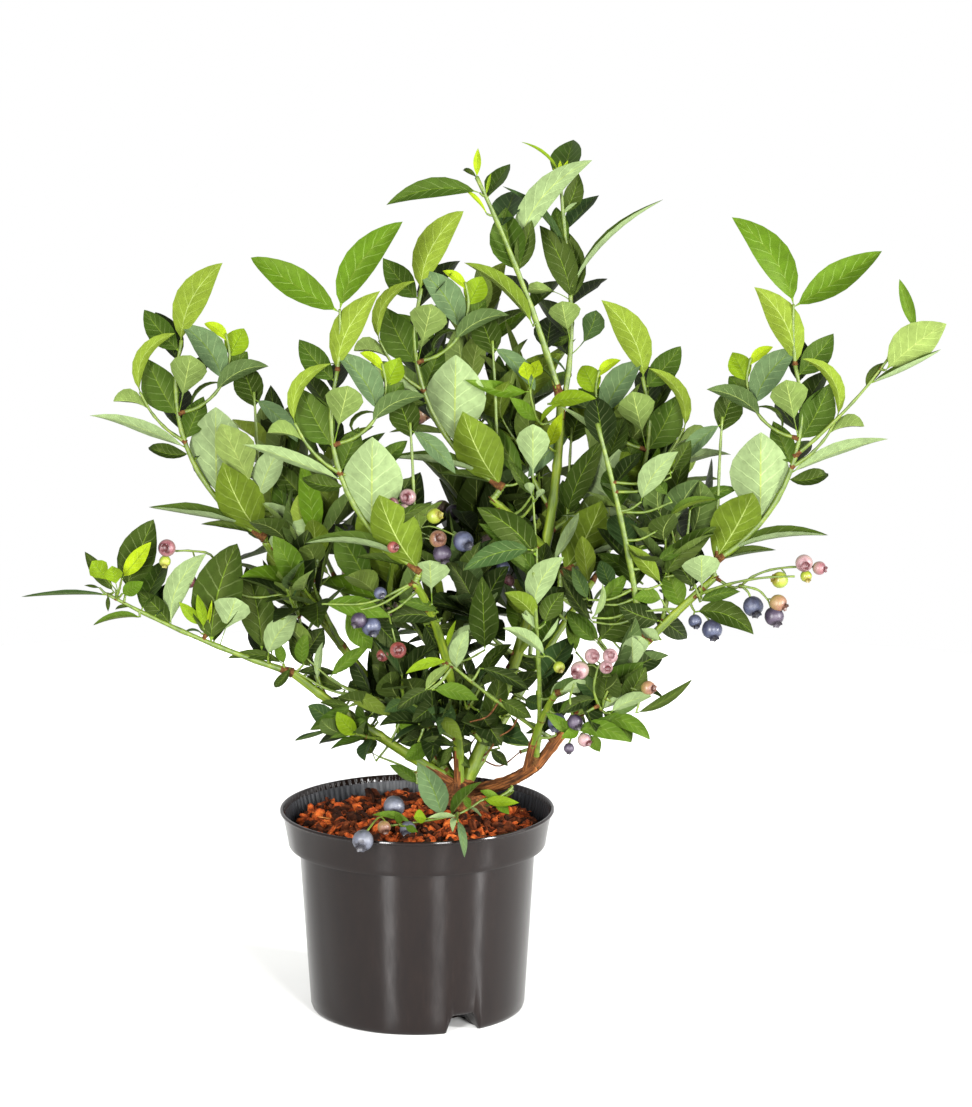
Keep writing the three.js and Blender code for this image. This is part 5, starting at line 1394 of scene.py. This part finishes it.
dead = np.array([shoot.get("dead", False) for shoot in shoots])
collar = np.where(dead[:, None], 2, collar)
ends = np.where(dead, 2, 0).repeat(2 * TWIG_CORNERS)
shades = np.concatenate([collar.ravel(), ends])
twigs = mesh_object("twigs", points, faces, [twig_skin, scar_skin, dead_skin], shades, crease=70)
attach(twigs, "root")

# ---- Berries: small clusters on thin stalks, each berry a slightly flattened ball with a five-toothed
# crown round its eye. They ripen from green through pink to blue, and the blue ones wear a pale bloom.
BERRY_CORNERS = 20
# radius and place along a berry whose radius is 1: the stalk's end first, then the body, the crown and
# the eye
BERRY_PROFILE = [
    (0, 0.86), (0.14, 0.9), (0.36, 0.89), (0.62, 0.76), (0.84, 0.5), (0.97, 0.18), (1, -0.12),
    (0.94, -0.42),
    (0.78, -0.68), (0.56, -0.84), (0.4, -0.9), (0.42, -1.0), (0.5, -1.12), (0.42, -1.08), (0.33, -0.94),
    (0.2, -0.86), (0, -0.84),
]
TEETH = 12  # the profile's place with the teeth
# the stalk's end, the belly, the shoulder round the crown, and the crown, by letter
RIPENESS = {
    "g": ("#465808", "#505c12", "#5a6018", "#4c4210"),
    "k": ("#4c4e22", "#5a4a42", "#523034", "#2c0e0e"),
    "w": ("#525622", "#665a50", "#5c4648", "#321012"),
    "p": ("#50501c", "#58482a", "#503628", "#2a1208"),
    "r": ("#4e3c1a", "#5a3020", "#4e2220", "#2e0c08"),
    "v": ("#28222c", "#38303c", "#3c343e", "#2e141a"),
    "n": ("#1c1418", "#18121e", "#261e2a", "#0e080c"),
    "b": ("#14141c", "#1c1c28", "#282c3c", "#0a080e"),
    "h": ("#202226", "#2e3034", "#3a3c44", "#141216"),
}
# the masses that carry them; then x and y of each berry, its radius in pixels, its ripeness, and how far
# its crown looks to the right and up, seen from the front; last how far behind its shoot it hangs, mm
BERRIES = {
    "centre_left_spray centre_left_fill": [
        (393, 503, 6, "k", -0.6, 0.2, -5), (408, 497, 8.5, "w", -0.3, 0.1, -5),
        (404, 508, 5, "w", -0.5, -0.6, -5),
        (434, 516, 8, "g", 0.8, 0.2, -5), (438, 539, 9, "p", 0.2, 0.3, -5),
        (442, 553, 9.5, "n", 0.3, -0.8, -5),
        (463, 541, 10.5, "b", 0.5, -0.3, -5), (393, 547, 6, "r", 0.6, 0.1, -5),
        (503, 567, 7, "b", 0.3, -0.6, -5),
    ],
    "low_left left_middle": [
        (380, 593, 6.5, "b", 0.4, -0.2, -5), (371, 626, 10, "b", 0.3, -0.6, -5),
        (359, 620, 8, "n", -0.5, -0.5, -5),
        (398, 650, 8.5, "r", 0.1, 0.2, -5), (383, 655, 6.5, "r", -0.4, -0.2, -5),
    ],
    "left_cane_shoot": [(167, 548, 9, "k", -0.2, 0.2, -5), (165, 561, 6, "g", 0, -0.7, -5),
        (190, 581, 7, "k", -0.3, -0.3, -5)],
    "right_spray right_fruit_twig": [
        (804, 563, 9, "w", 0.1, -0.1, -5), (819, 568, 7, "k", 0.9, -0.1, -5),
        (806, 576, 6, "g", 0.3, -0.6, -5),
        (780, 580, 8.5, "g", -0.8, 0.3, -5), (778, 603, 9, "p", 0.8, -0.4, -5),
        (774, 616, 10, "n", 0.3, -0.7, -5),
        (753, 606, 10.5, "b", 0.3, -0.7, -5), (712, 629, 10.5, "b", 0.2, -0.8, -5),
        (695, 621, 7, "b", 0.2, -0.7, -5),
    ],
    "low_right front_middle_shoot": [
        (580, 670, 9.5, "w", -0.5, -0.3, -5), (592, 656, 8, "w", 0.3, 0.2, -5),
        (610, 656, 8, "w", 0.1, 0.3, -5),
        (606, 667, 7, "w", 0.2, 0, -5), (620, 676, 7.5, "k", 0.2, 0.4, -5),
        (602, 685, 10.5, "v", -0.1, -0.4, -5),
        (648, 688, 7.5, "p", 0.8, 0.1, -5), (557, 722, 9.5, "b", -0.3, -0.6, -5),
        (575, 722, 8, "n", 0.4, -0.5, -5),
        (584, 740, 7, "w", 0.7, -0.3, -5), (569, 748, 5.5, "n", 0, -0.8, -5),
        (559, 667, 6, "g", 0.3, -0.4, -5),
    ],
    "front_middle_shoot": [
        (394, 806, 11, "h", 0.2, -0.5, 16), (363, 840, 11, "h", -0.2, -0.5, -52),
        (408, 829, 8.5, "h", -0.2, -0.3, -2),
        (384, 827, 7, "p", 0.3, -0.5, -5),
    ],
}
TRUSS = 4  # berries at the tip of every second twig of the masses that are out of the front's sight


def berry_skin(kind, stalk_end, belly, shoulder, crown):
    """A berry's skin: its colours follow the place from the stalk to the eye, blurred by fine mottle,
    under a thin uneven bloom."""
    made, tree, shader = finish(f"berry_skin_{kind}", {"Specular IOR Level": 0.3})
    uv = add(tree, "SeparateXYZ", {"Vector": add(tree, "UVMap", uv_map="surface").outputs["UV"]})
    place = add(tree, "TexCoord").outputs["Object"]
    mottle = grain(tree, place, 4, detail=5.0, rough=0.6)
    spread = add(tree, "Math", {0: add(tree, "Math", {0: mottle, 1: 0.5}, operation="SUBTRACT"), 1: 0.5},
        operation="MULTIPLY")
    at = add(tree, "Math", {0: uv.outputs["X"], 1: spread}, operation="ADD")
    tint = blend(tree, at, (0.06, stalk_end), (0.3, belly), (0.5, shoulder), (0.62, crown), (0.9, crown))
    bloom = add(tree, "MapRange",
        {"Value": grain(tree, place, 9), "From Min": 0.42, "From Max": 0.66, "To Max": 0.3})
    rgb = np.array(linear(shoulder)[:3])
    dusted = add(tree, "MixRGB", {"Fac": bloom, "Color1": tint, "Color2": (*(rgb * 1.5 + 0.01), 1)})
    tree.links.new(dusted.outputs[0], shader.inputs["Base Color"])
    gloss = add(tree, "MapRange", {"Value": bloom, "From Max": 0.3, "To Min": 0.36, "To Max": 0.6})
    tree.links.new(gloss.outputs[0], shader.inputs["Roughness"])
    return made


hung = []  # centre, direction of the crown, radius, ripeness, and the place its stalk starts
for names, rows in BERRIES.items():
    carriers = [shoot for name in names.split() for shoot in all_shoots[name]]
    for x, y, size, kind, right, above, behind in rows:
        start = nearest(carriers, x, y - size)
        centre = sighted(x, y, start[1] + behind)
        way = np.array([right, -math.sqrt(max(0.05, 1 - right**2 - above**2)), above])
        hung.append((centre, unit(way), size * (centre[1] - EYE[1]) / FOCAL, kind, start))
draw = stream(4481)
for name, grown in all_shoots.items():
    if not name.startswith("back"):
        continue
    for shoot in grown[2::2]:
        start, way, _ = along(shoot, 0.8)
        for k in range(TRUSS):
            out = unit(heading(360 * draw(), 90) * 0.8 + way * 0.3 + [0, 0, -0.5 - 0.4 * draw()])
            centre = start + out * (13 + 9 * draw())
            hung.append((centre, out, 5.5 + 3.2 * draw(), "gkwpvbbnn"[int(draw() * 9)], start))
centre, crown_way, size, start = (np.array([berry[i] for berry in hung]) for i in (0, 1, 2, 4))
turn = np.arange(BERRY_CORNERS) * 2 * math.pi / BERRY_CORNERS
radius, height = np.array(BERRY_PROFILE).T[:, :, None] + 0 * turn
height[TEETH] += 0.16 * np.abs(np.sin(2.5 * turn))
height[TEETH] -= 0.1
side = unit(np.cross(crown_way, [0.3, 0.2, 1.0]))
other = np.cross(crown_way, side)
spokes = side[:, None] * np.cos(turn)[:, None] + other[:, None] * np.sin(turn)[:, None]
rings = spokes[:, None] * radius[..., None] - crown_way[:, None, None] * height[..., None]
points, faces = shells(centre[:, None, None] + rings * size[:, None, None, None])
rows = len(BERRY_PROFILE)
uv_u = np.concatenate([[0], np.repeat(np.arange(1, rows - 1) / (rows - 1), BERRY_CORNERS), [1]])
uv_v = np.concatenate([[0], np.tile(turn / 7, rows - 2), [0]])
uv = np.tile(np.stack([uv_u, uv_v], -1), (len(hung), 1))
kinds = np.array([list(RIPENESS).index(berry[3]) for berry in hung])
shades = np.concatenate([kinds.repeat((rows - 3) * BERRY_CORNERS), kinds.repeat(2 * BERRY_CORNERS)])
skins = [berry_skin(kind, *colours) for kind, colours in RIPENESS.items()]
berries = mesh_object("berries", points, faces, skins, shades, uv, crease=50)
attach(berries, "root")

# Stalks: thin, green, arched, thickened where they meet the berry.
t = np.linspace(0, 1, 8)
hold = centre - crown_way * size[:, None] * 0.85
reach = np.linalg.norm(hold - start, axis=1)[:, None]
middle = (start + hold) / 2 - crown_way * reach * 0.22 + [0, 0, 0.06] * reach
lines = np.array([curve(np.array(points), len(t)) for points in zip(start, middle, hold)])
points, faces = shells(tubes(lines, 0.7 + 0 * reach + 0.35 * t**8, 6))
stalks = mesh_object("berry_stalks", points, faces, [twig_skin], crease=70)
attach(stalks, "root")
